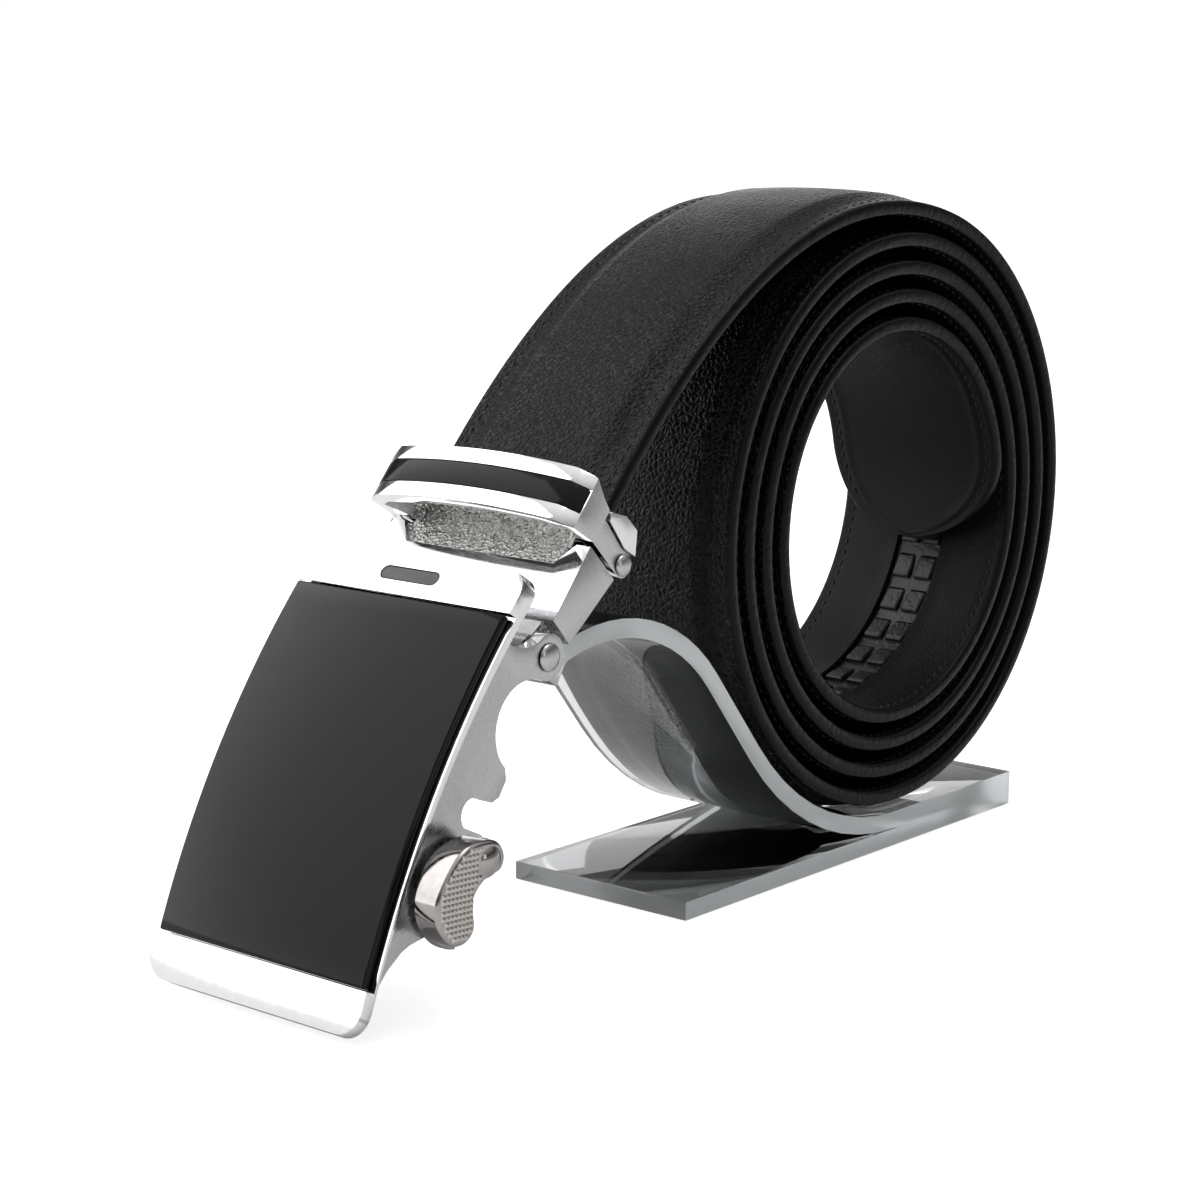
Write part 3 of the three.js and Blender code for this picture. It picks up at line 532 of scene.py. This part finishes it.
track = mesh_piece("track_teeth", track_verts, track_faces, track_plastic, smooth=False)
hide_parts("ratchet_track")
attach(track, "clamp_and_strap")


# The clamp: a cast zinc sleeve, polished and plated on its face and left as cast in its
# recess. Its lower end carries the barrel of the buckle's hinge.
def metal_marks_group():
    """Faint waves and fine grain of polished plating, and a mask of handling marks."""
    group = node_group("metal marks", {"Scale": 60.0},
                       {"Height": "NodeSocketFloat", "Marks": "NodeSocketFloat"})
    nodes, links = group.nodes, group.links
    place = nodes.new("ShaderNodeTexCoord")
    waves = nodes.new("ShaderNodeTexNoise")
    waves.inputs["Detail"].default_value = 1
    links.new(place.outputs["Object"], waves.inputs["Vector"])
    links.new(nodes["in"].outputs["Scale"], waves.inputs["Scale"])
    marks = nodes.new("ShaderNodeTexNoise")
    marks.inputs["Scale"].default_value = 900
    marks.inputs["Detail"].default_value = 6
    links.new(place.outputs["Object"], marks.inputs["Vector"])
    links.new(waves.outputs["Fac"], nodes["out"].inputs["Height"])
    links.new(marks.outputs["Fac"], nodes["out"].inputs["Marks"])
    return group


def cast_texture_group():
    """Small random facets of a surface left as cast."""
    group = node_group("cast texture", {"Cell": 0.35},
                       {"Height": "NodeSocketFloat", "Facet": "NodeSocketFloat"})
    nodes, links = group.nodes, group.links
    place = nodes.new("ShaderNodeTexCoord")
    divide = nodes.new("ShaderNodeMath")
    divide.operation = "DIVIDE"
    divide.inputs[0].default_value = 1000
    links.new(nodes["in"].outputs["Cell"], divide.inputs[1])
    facets = nodes.new("ShaderNodeTexVoronoi")
    facets.feature = "F1"
    links.new(place.outputs["Object"], facets.inputs["Vector"])
    links.new(divide.outputs["Value"], facets.inputs["Scale"])
    links.new(facets.outputs["Distance"], nodes["out"].inputs["Height"])
    links.new(facets.outputs["Color"], nodes["out"].inputs["Facet"])
    return group


metal_marks = metal_marks_group()
cast_texture = cast_texture_group()
polish_wave = 0.00002


def polished_metal(name, dark, light, rough_low, rough_high):
    """Plated metal with faint polish marks."""
    material, tree, shader = plain_material(name, light, rough_low, metallic=1.0)
    marks = tree.nodes.new("ShaderNodeGroup")
    marks.node_tree = metal_marks
    value = marks.outputs["Marks"]
    tree.links.new(color_between(tree, value, dark, light), shader.inputs["Base Color"])
    tree.links.new(ramp_between(tree, value, rough_low, rough_high, 0.35, 0.7), shader.inputs["Roughness"])
    bump_from(tree, shader, marks.outputs["Height"], polish_wave, 0.35)
    return material


def cast_metal(name, cell, depth, dark, light, rough_low, rough_high):
    """Plated metal over a surface left as cast, which sparkles."""
    material, tree, shader = plain_material(name, light, rough_low, metallic=1.0)
    texture = tree.nodes.new("ShaderNodeGroup")
    texture.node_tree = cast_texture
    texture.inputs["Cell"].default_value = cell
    facet = texture.outputs["Facet"]
    tree.links.new(color_between(tree, facet, dark, light), shader.inputs["Base Color"])
    tree.links.new(ramp_between(tree, facet, rough_low, rough_high), shader.inputs["Roughness"])
    bump_from(tree, shader, texture.outputs["Height"], depth)
    return material


chrome_white = polished_metal("polished chrome", (0.78, 0.78, 0.79), (0.88, 0.88, 0.89), 0.05, 0.1)
chrome_satin = polished_metal("satin chrome", (0.5, 0.5, 0.51), (0.6, 0.6, 0.61), 0.24, 0.34)
chrome_dark = polished_metal("dark chrome", (0.34, 0.32, 0.31), (0.46, 0.44, 0.43), 0.07, 0.14)
chrome_cast = cast_metal("chrome as cast", 0.42, 0.0002, (0.16, 0.155, 0.15), (0.6, 0.59, 0.57), 0.2, 0.44)


def softened_copy(name, node, bevel, materials, choose=None):
    """A copy of a CAD node with rounded edges. choose picks a material from a face's middle and normal."""
    source = frame["nodes"][node]
    mesh = source.data.copy()
    mesh.name = name
    mesh.materials.clear()
    work = bmesh.new()
    work.from_mesh(mesh)
    bmesh.ops.remove_doubles(work, verts=work.verts, dist=2e-6)
    bmesh.ops.dissolve_limit(work, angle_limit=math.radians(0.4), verts=work.verts, edges=work.edges)
    sharp = [e for e in work.edges if len(e.link_faces) == 2 and e.calc_face_angle(0) > math.radians(28)]
    bmesh.ops.bevel(work, geom=sharp, offset=bevel, segments=2, profile=0.5, affect="EDGES",
                    clamp_overlap=True)
    bmesh.ops.triangulate(work, faces=[f for f in work.faces if len(f.verts) > 4])
    for face in work.faces:
        face.smooth = True
        if choose:
            face.material_index = choose(face.calc_center_median(), face.normal)
    work.to_mesh(mesh)
    work.free()
    for material in materials:
        mesh.materials.append(material)
    mesh.set_sharp_from_angle(angle=math.radians(32))
    obj = bpy.data.objects.new(name, mesh)
    bpy.context.collection.objects.link(obj)
    return obj


clamp_up = Vector((math.cos(clamp_slope), 0, math.sin(clamp_slope)))
clamp_out = Vector((-math.sin(clamp_slope), 0, math.cos(clamp_slope)))
clamp_origin = Vector((clamp_x, belt_y, clamp_z))


def clamp_place(point):
    """A point's place on the clamp: up the strap, across and outward."""
    offset = point - clamp_origin
    return offset.dot(clamp_up), offset.y, offset.dot(clamp_out)


def clamp_finish(point, normal):
    u, y, n = clamp_place(point)
    out = normal.dot(clamp_out)
    if abs(y) > 18 * MM and abs(normal.y) > 0.7:
        return 1
    if u > -4.2 * MM and n < -0.2 * MM and abs(y) < 17.5 * MM and out > 0.2:
        return 2
    if u < -13.1 * MM:
        return 2 if out < 0.8 else 1
    return 0


clamp = softened_copy("clamp_sleeve", "clamp_body", 0.16 * MM, (chrome_white, chrome_satin, chrome_cast),
                      clamp_finish)
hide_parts("clamp_body")
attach(clamp, "clamp_and_strap")


# The keeper loop: a cast bow over the strap's mouth. Its front is polished on both borders
# with a black band between them, and its floor and inner corners are left as cast.
def keeper_finish(point, normal):
    _, y, n = clamp_place(point)
    out = normal.dot(clamp_out)
    if n < 1.2 * MM and out > 0.3:
        return 2
    if n < 5.5 * MM and abs(y) < 19 * MM and abs(normal.y) > 0.3 and y * normal.y < 0:
        return 1
    if n < 5.6 * MM and abs(normal.y) > 0.8:
        return 1
    return 0


cast_floor_levels = (-0.72, -0.95)


def cast_floor():
    """The rough floor that runs from the loop down into the clamp's face, over their joint."""
    corners = ((-3.7, -14.3), (-0.2, -15.6), (1.2, -15.6), (5.2, -14.4),
               (5.2, 14.4), (1.2, 15.6), (-0.2, 15.6), (-3.7, 14.3))
    verts = []
    for n in cast_floor_levels:
        verts += [tuple(clamp_origin + u * MM * clamp_up + Vector((0, y * MM, 0)) + n * MM * clamp_out)
                  for u, y in corners]
    count = len(corners)
    faces = [tuple(range(count)), tuple(range(2 * count - 1, count - 1, -1))]
    faces += [(i, (i + 1) % count, count + (i + 1) % count, count + i) for i in range(count)]
    return mesh_piece("keeper_cast_floor", verts, faces, chrome_cast, smooth=False)


floor_plate = cast_floor()
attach(floor_plate, "clamp_and_strap")

keeper = softened_copy("keeper_bow", "keeper_loop", 0.2 * MM, (chrome_white, chrome_satin, chrome_cast),
                       keeper_finish)
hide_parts("keeper_loop")
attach(keeper, "clamp_and_strap")


def gloss_black(name, dark, light, roughness):
    """Poured enamel or glass: a near-black body under a clear gloss."""
    material, tree, shader = plain_material(name, dark, roughness, specular=0.16)
    marks = tree.nodes.new("ShaderNodeGroup")
    marks.node_tree = metal_marks
    value = marks.outputs["Marks"]
    tree.links.new(color_between(tree, value, dark, light), shader.inputs["Base Color"])
    tree.links.new(ramp_between(tree, value, roughness, roughness * 1.6, 0.35, 0.7),
                   shader.inputs["Roughness"])
    return material


enamel_black = gloss_black("black enamel", (0.003, 0.003, 0.0032), (0.005, 0.005, 0.0052), 0.1)
band = softened_copy("keeper_enamel", "keeper_band", 0.08 * MM, (enamel_black,))
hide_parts("keeper_band")
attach(band, "clamp_and_strap")


# The clamp's door: a toothed cast flap that bites the strap's back. It turns on a riveted pin
# that runs between the keeper's two side tabs.
door = softened_copy("toothed_door", "clamp_door", 0.14 * MM, (chrome_satin, chrome_white),
                     lambda point, normal: 1 if abs(clamp_place(point)[1]) > 19.6 * MM else 0)
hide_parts("clamp_door")
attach(door, "door")

door_rivet = softened_copy("door_rivet", "door_pin", 0.05 * MM, (chrome_satin,))
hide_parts("door_pin")
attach(door_rivet, "clamp_and_strap")


# The buckle: one zinc casting, a bowed front plate with two scalloped side walls. The front
# is mirror polished and plated, the walls are satin, and the cut edges catch the light.
plate_slope = math.radians(59)
plate_up = Vector((math.cos(plate_slope), 0, math.sin(plate_slope)))
plate_out = Vector((-math.sin(plate_slope), 0, math.cos(plate_slope)))
hinge = Vector(next(j for j in frame["joints"] if j["name"] == "buckle_hinge")["pos_m"])


def buckle_finish(point, normal):
    y = (point - hinge).y
    if abs(y) < 18.9 * MM and normal.dot(plate_out) < -0.3:
        return 1
    if abs(normal.y) > 0.9 and abs(y) < 20.85 * MM:
        return 1
    return 0


buckle = softened_copy("buckle_casting", "buckle_frame", 0.28 * MM, (chrome_white, chrome_satin),
                       buckle_finish)
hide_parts("buckle_frame")
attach(buckle, "buckle")

hinge_rivet = softened_copy("hinge_rivet", "hinge_pin", 0.05 * MM, (chrome_satin,))
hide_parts("hinge_pin")
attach(hinge_rivet, "buckle")


# The dark panel: a bowed piece of near-black glass let into the plate, ground to a narrow
# bevel all round. Below it shows only its own dark backing.
glass_dark = gloss_black("dark glass", (0.004, 0.004, 0.0055), (0.006, 0.006, 0.008), 0.06)
panel = softened_copy("glass_pane", "glass_panel", 0.3 * MM, (glass_dark,))
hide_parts("glass_panel")
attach(panel, "buckle")


# The slot: a small pill-shaped inlay in the polished top strip of the plate. It is lacquered
# grey and set into the chrome.
inlay_grey = leather_material("grey lacquer", 0.8, 0.3, 0.00002, 0.2,
                              (0.08, 0.08, 0.082), (0.11, 0.11, 0.112), 0.4, 0.5)
inlay = softened_copy("slot_lacquer", "slot_inlay", 0.06 * MM, (inlay_grey,))
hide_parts("slot_inlay")
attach(inlay, "buckle")


# The release lever: a dark plated casting with a flat disc against the wall and a kidney
# shaped thumb pad that stands off it. The pad's face is knurled in rows, and its upper end
# is a smooth ball. The axle runs through both walls to a plain head on the far side.
lever_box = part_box("release_lever")
lever_joint = Vector(next(j for j in frame["joints"] if j["name"] == "lever_turn")["pos_m"])
disc_radius = 7.6 * MM
disc_thickness = 1.5 * MM
pad_thickness = 4.4 * MM
pad_face_y = lever_box[0][1]
pad_top_y = pad_face_y + 0.35 * MM
pad_back_y = pad_face_y + pad_thickness
disc_back_y = pad_back_y + disc_thickness
pad_corners = (
    (-0.816, 0.842), (-0.987, 0.395), (-0.842, 0.039), (-0.513, -0.066), (-0.053, 0.224), (0.368, 0.105),
    (0.658, -0.184), (0.961, -0.105), (1.066, 0.263), (0.724, 0.855), (0.132, 1.118), (-0.434, 1.132),
)
ball_centre = np.array([0.7, 0.2]) * disc_radius
ball_radius = 2.9 * MM


def lever_point(along, out, y):
    """A point of the lever from its axle: up the plate, outward, and across the belt."""
    spot = lever_joint + float(along) * plate_up + float(out) * plate_out
    return (spot.x, y, spot.z)


def pad_outline(per_side):
    """A closed smooth curve through the pad's corners."""
    corners = np.array(pad_corners) * disc_radius
    points = []
    count = len(corners)
    for i in range(count):
        a, b, c, d = (corners[(i + k) % count] for k in (-1, 0, 1, 2))
        for s in range(per_side):
            t = s / per_side
            points.append(0.5 * (2 * b + (c - a) * t + (2 * a - 5 * b + 4 * c - d) * t * t
                                 + (3 * b - a - 3 * c + d) * t ** 3))
    return np.array(points)


def rounded_slab(work, outline, back_y, face_y, rounding, steps):
    """A slab between two Y planes whose outer rim is rolled off by insets."""
    back = [work.verts.new(lever_point(a, o, back_y)) for a, o in outline]
    face = work.faces.new(back)
    grown = bmesh.ops.extrude_face_region(work, geom=[face])
    raised = [g for g in grown["geom"] if isinstance(g, bmesh.types.BMVert)]
    for vert in raised:
        vert.co.y = face_y + rounding
    cap = next(g for g in grown["geom"] if isinstance(g, bmesh.types.BMFace))
    work.normal_update()
    for k in range(steps):
        low, high = k / steps * math.pi / 2, (k + 1) / steps * math.pi / 2
        inset = rounding * (math.cos(low) - math.cos(high))
        rise = rounding * (math.sin(high) - math.sin(low))
        bmesh.ops.inset_region(work, faces=[cap], thickness=inset, depth=0, use_even_offset=True)
        for vert in cap.verts:
            vert.co.y -= rise


lever_work = bmesh.new()
pad_curve = pad_outline(7)
rounded_slab(lever_work, pad_curve, pad_back_y + 0.1 * MM, pad_top_y, 0.7 * MM, 5)
disc_curve = [(disc_radius * math.cos(math.radians(a)), disc_radius * math.sin(math.radians(a)))
              for a in np.linspace(-22, 202, 57)]
rounded_slab(lever_work, np.array(disc_curve), disc_back_y, pad_back_y, 0.5 * MM, 4)
ball = bmesh.ops.create_uvsphere(lever_work, u_segments=28, v_segments=18, radius=1)
for vert in ball["verts"]:
    x, y, z = vert.co
    vert.co = lever_point(ball_centre[0] + x * ball_radius, ball_centre[1] + z * ball_radius,
                          pad_face_y + 2.1 * MM + y * 2.5 * MM)
axle_radius = 1.5 * MM
axle_sides = 32
head_radius = 2.6 * MM
far_y = lever_box[1][1]
for radius, low_y, high_y in ((axle_radius, disc_back_y, far_y - 0.4 * MM),
                              (head_radius, far_y - 0.8 * MM, far_y)):
    angles = np.linspace(0, 2 * math.pi, axle_sides + 1)[:-1]
    circle = [(radius * math.cos(a), radius * math.sin(a)) for a in angles]
    rings = [[lever_work.verts.new(lever_point(a, o, y)) for a, o in circle] for y in (low_y, high_y)]
    for i in range(axle_sides):
        j = (i + 1) % axle_sides
        lever_work.faces.new((rings[0][i], rings[0][j], rings[1][j], rings[1][i]))
    lever_work.faces.new(rings[0])
    lever_work.faces.new(rings[1])
bmesh.ops.recalc_face_normals(lever_work, faces=lever_work.faces)
for face in lever_work.faces:
    face.smooth = True
lever_mesh = bpy.data.meshes.new("thumb_lever")
bmesh.ops.triangulate(lever_work, faces=[f for f in lever_work.faces if len(f.verts) > 4])
lever_work.to_mesh(lever_mesh)
lever_work.free()
lever_mesh.materials.append(chrome_dark)
lever_mesh.set_sharp_from_angle(angle=math.radians(35))
lever = bpy.data.objects.new("thumb_lever", lever_mesh)
bpy.context.collection.objects.link(lever)
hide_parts("release_lever")
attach(lever, "lever")

knurl_pitch = 0.78 * MM
knurl_height = 0.34 * MM
knurl_turn = math.radians(28)
knurl_reach = 16
knurl_margin = 0.75 * MM
knurl_middle = np.array([0, 3.8 * MM])
knurl_axes = np.array([[math.cos(knurl_turn), -math.sin(knurl_turn)],
                       [math.sin(knurl_turn), math.cos(knurl_turn)]])


def inside_pad(point, margin):
    """Whether a point lies inside the pad's outline by a margin and clear of the ball."""
    if np.hypot(*(point - ball_centre)) < ball_radius * 0.93:
        return False
    ahead = np.roll(pad_curve, -1, axis=0)
    crossing = (pad_curve[:, 1] > point[1]) != (ahead[:, 1] > point[1])
    rise = np.where(crossing, ahead[:, 1] - pad_curve[:, 1], 1)
    reach = (ahead[:, 0] - pad_curve[:, 0]) * (point[1] - pad_curve[:, 1]) / rise + pad_curve[:, 0]
    nearest = np.hypot(*(pad_curve - point).T).min()
    return np.count_nonzero(crossing & (point[0] < reach)) % 2 == 1 and nearest > margin


knurl_verts, knurl_faces = [], []
for i in range(-knurl_reach, knurl_reach + 1):
    for j in range(-knurl_reach, knurl_reach + 1):
        centre = knurl_axes @ (np.array([i, j]) * knurl_pitch) + knurl_middle
        if not inside_pad(centre, knurl_margin):
            continue
        base = len(knurl_verts)
        for share, level in ((0.56, 0.08), (0.2, -1)):
            for a, b in ((-1, -1), (1, -1), (1, 1), (-1, 1)):
                spot = centre + knurl_axes @ (np.array([a, b]) * knurl_pitch * share)
                y = pad_top_y + level * knurl_height
                knurl_verts.append(lever_point(*spot, y))
        for k in range(4):
            t = (k + 1) % 4
            knurl_faces.append((base + k, base + t, base + 4 + t, base + 4 + k))
        knurl_faces.append((base + 4, base + 5, base + 6, base + 7))
        knurl_faces.append((base + 3, base + 2, base + 1, base))
chrome_pewter = polished_metal("pewter chrome", (0.42, 0.4, 0.38), (0.62, 0.59, 0.57), 0.16, 0.26)
knurl = mesh_piece("thumb_pad_knurl", knurl_verts, knurl_faces, chrome_pewter, smooth=False)
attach(knurl, "lever")

pawl = softened_copy("ratchet_pawl", "latch_pawl", 0.15 * MM, (chrome_satin,))
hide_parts("latch_pawl")
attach(pawl, "lever")


# The stand: one strip of clear acrylic sheet, heat bent to a crest and a cradle and glued to
# a flat base. Its faces are clear and its sawn edges are polished but look whitish.
acrylic, _, acrylic_shader = plain_material("clear acrylic", (0.94, 0.96, 0.97), 0.03)
acrylic_shader.inputs["Transmission Weight"].default_value = 1.0
acrylic_shader.inputs["IOR"].default_value = 1.49
sawn_edge, _, sawn_shader = plain_material("sawn acrylic edge", (0.8, 0.83, 0.84), 0.3)
sawn_shader.inputs["Transmission Weight"].default_value = 0.55
sawn_shader.inputs["IOR"].default_value = 1.49
stand = softened_copy("acrylic_stand", "display_stand", 0.2 * MM, (acrylic, sawn_edge),
                      lambda point, normal: 1 if abs(normal.y) > 0.8 else 0)
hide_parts("display_stand")
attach(stand, "clamp_and_strap")


# The studio: a pale floor on a white ground, a surround that is grey near the horizon and dark
# overhead, and four soft boxes. The camera stands in front of the buckle's near corner.
floor_mesh = bpy.data.meshes.new("floor")
floor_reach = 6.0
floor_mesh.from_pydata([(-floor_reach, -floor_reach, 0), (floor_reach, -floor_reach, 0),
                        (floor_reach, floor_reach, 0), (-floor_reach, floor_reach, 0)], [], [(0, 1, 2, 3)])
floor = bpy.data.objects.new("floor", floor_mesh)
bpy.context.collection.objects.link(floor)
floor_paint, floor_tree, floor_shader = plain_material("pale floor", (0.8, 0.8, 0.8), 0.9, specular=0.1)
floor_shader.inputs["Emission Color"].default_value = (1, 1, 1, 1)
floor_seen = floor_tree.nodes.new("ShaderNodeLightPath")
floor_glow = floor_tree.nodes.new("ShaderNodeMath")
floor_glow.operation = "MULTIPLY"
floor_glow.inputs[1].default_value = 0.7
floor_tree.links.new(floor_seen.outputs["Is Camera Ray"], floor_glow.inputs[0])
floor_tree.links.new(floor_glow.outputs["Value"], floor_shader.inputs["Emission Strength"])
floor_mesh.materials.append(floor_paint)
floor.location.z = -0.0002

world = bpy.data.worlds.new("studio")
bpy.context.scene.world = world
world.use_nodes = True
sky = world.node_tree
sky_out = sky.nodes["World Output"]
surround = sky.nodes["Background"]
backdrop = sky.nodes.new("ShaderNodeBackground")
backdrop.inputs["Color"].default_value = (1, 1, 1, 1)
direction = sky.nodes.new("ShaderNodeTexCoord")
split = sky.nodes.new("ShaderNodeSeparateXYZ")
sky.links.new(direction.outputs["Generated"], split.inputs["Vector"])
height_ramp = sky.nodes.new("ShaderNodeValToRGB")
for at, level in ((0.0, 0.4), (0.3, 0.2), (1.0, 0.06)):
    stop = height_ramp.color_ramp.elements.new(at) if 0 < at < 1 else height_ramp.color_ramp.elements[int(at)]
    stop.color = (level, level, level * 1.02, 1)
sky.links.new(split.outputs["Z"], height_ramp.inputs["Fac"])
sky.links.new(height_ramp.outputs["Color"], surround.inputs["Color"])
seen = sky.nodes.new("ShaderNodeLightPath")
choice = sky.nodes.new("ShaderNodeMixShader")
sky.links.new(seen.outputs["Is Camera Ray"], choice.inputs["Fac"])
sky.links.new(surround.outputs["Background"], choice.inputs[1])
sky.links.new(backdrop.outputs["Background"], choice.inputs[2])
sky.links.new(choice.outputs["Shader"], sky_out.inputs["Surface"])


def soft_box(name, toward, distance, size, radiance):
    """A rectangular soft box in a direction from the belt, of a given brightness."""
    lamp = bpy.data.lights.new(name, "AREA")
    lamp.shape = "RECTANGLE"
    lamp.size, lamp.size_y = size
    lamp.energy = radiance * math.pi * size[0] * size[1]
    obj = bpy.data.objects.new(name, lamp)
    aim = Vector((0, belt_y, 0.05))
    obj.location = aim + Vector(toward).normalized() * distance
    obj.rotation_euler = (aim - obj.location).to_track_quat("-Z", "Y").to_euler()
    bpy.context.collection.objects.link(obj)


soft_box("front card", (-0.55, 0.62, 0.46), 1.0, (1.7, 1.3), 1.9)
soft_box("back card", (0.76, 0.62, 0.3), 1.2, (0.8, 0.4), 1.5)
soft_box("top box", (0.1, -0.1, 1.0), 1.3, (0.7, 0.5), 2.6)
soft_box("near card", (-0.2, -0.9, 0.25), 1.2, (0.3, 0.4), 1.2)
bpy.context.scene.view_settings.view_transform = "Standard"

camera_azimuth = math.radians(-50.615)
camera_elevation = math.radians(10.509)
camera_roll = math.radians(0.638)
camera_place = Vector((coil_x - 0.379, belt_y - 0.2632, coil_z + 0.0678))
backward = Vector((math.sin(camera_azimuth) * math.cos(camera_elevation),
                   -math.cos(camera_azimuth) * math.cos(camera_elevation), math.sin(camera_elevation)))
level = Vector((math.cos(camera_azimuth), math.sin(camera_azimuth), 0))
upward = backward.cross(level)
rolled_right = math.cos(camera_roll) * level + math.sin(camera_roll) * upward
rolled_up = -math.sin(camera_roll) * level + math.cos(camera_roll) * upward
camera_data = bpy.data.cameras.new("camera")
camera_data.sensor_width = 36
camera_data.lens = 81.38
camera_data.clip_start = 0.01
camera = bpy.data.objects.new("camera", camera_data)
bpy.context.collection.objects.link(camera)
camera.matrix_world = Matrix((
    (rolled_right.x, rolled_up.x, backward.x, camera_place.x),
    (rolled_right.y, rolled_up.y, backward.y, camera_place.y),
    (rolled_right.z, rolled_up.z, backward.z, camera_place.z),
    (0, 0, 0, 1),
))
bpy.context.scene.camera = camera
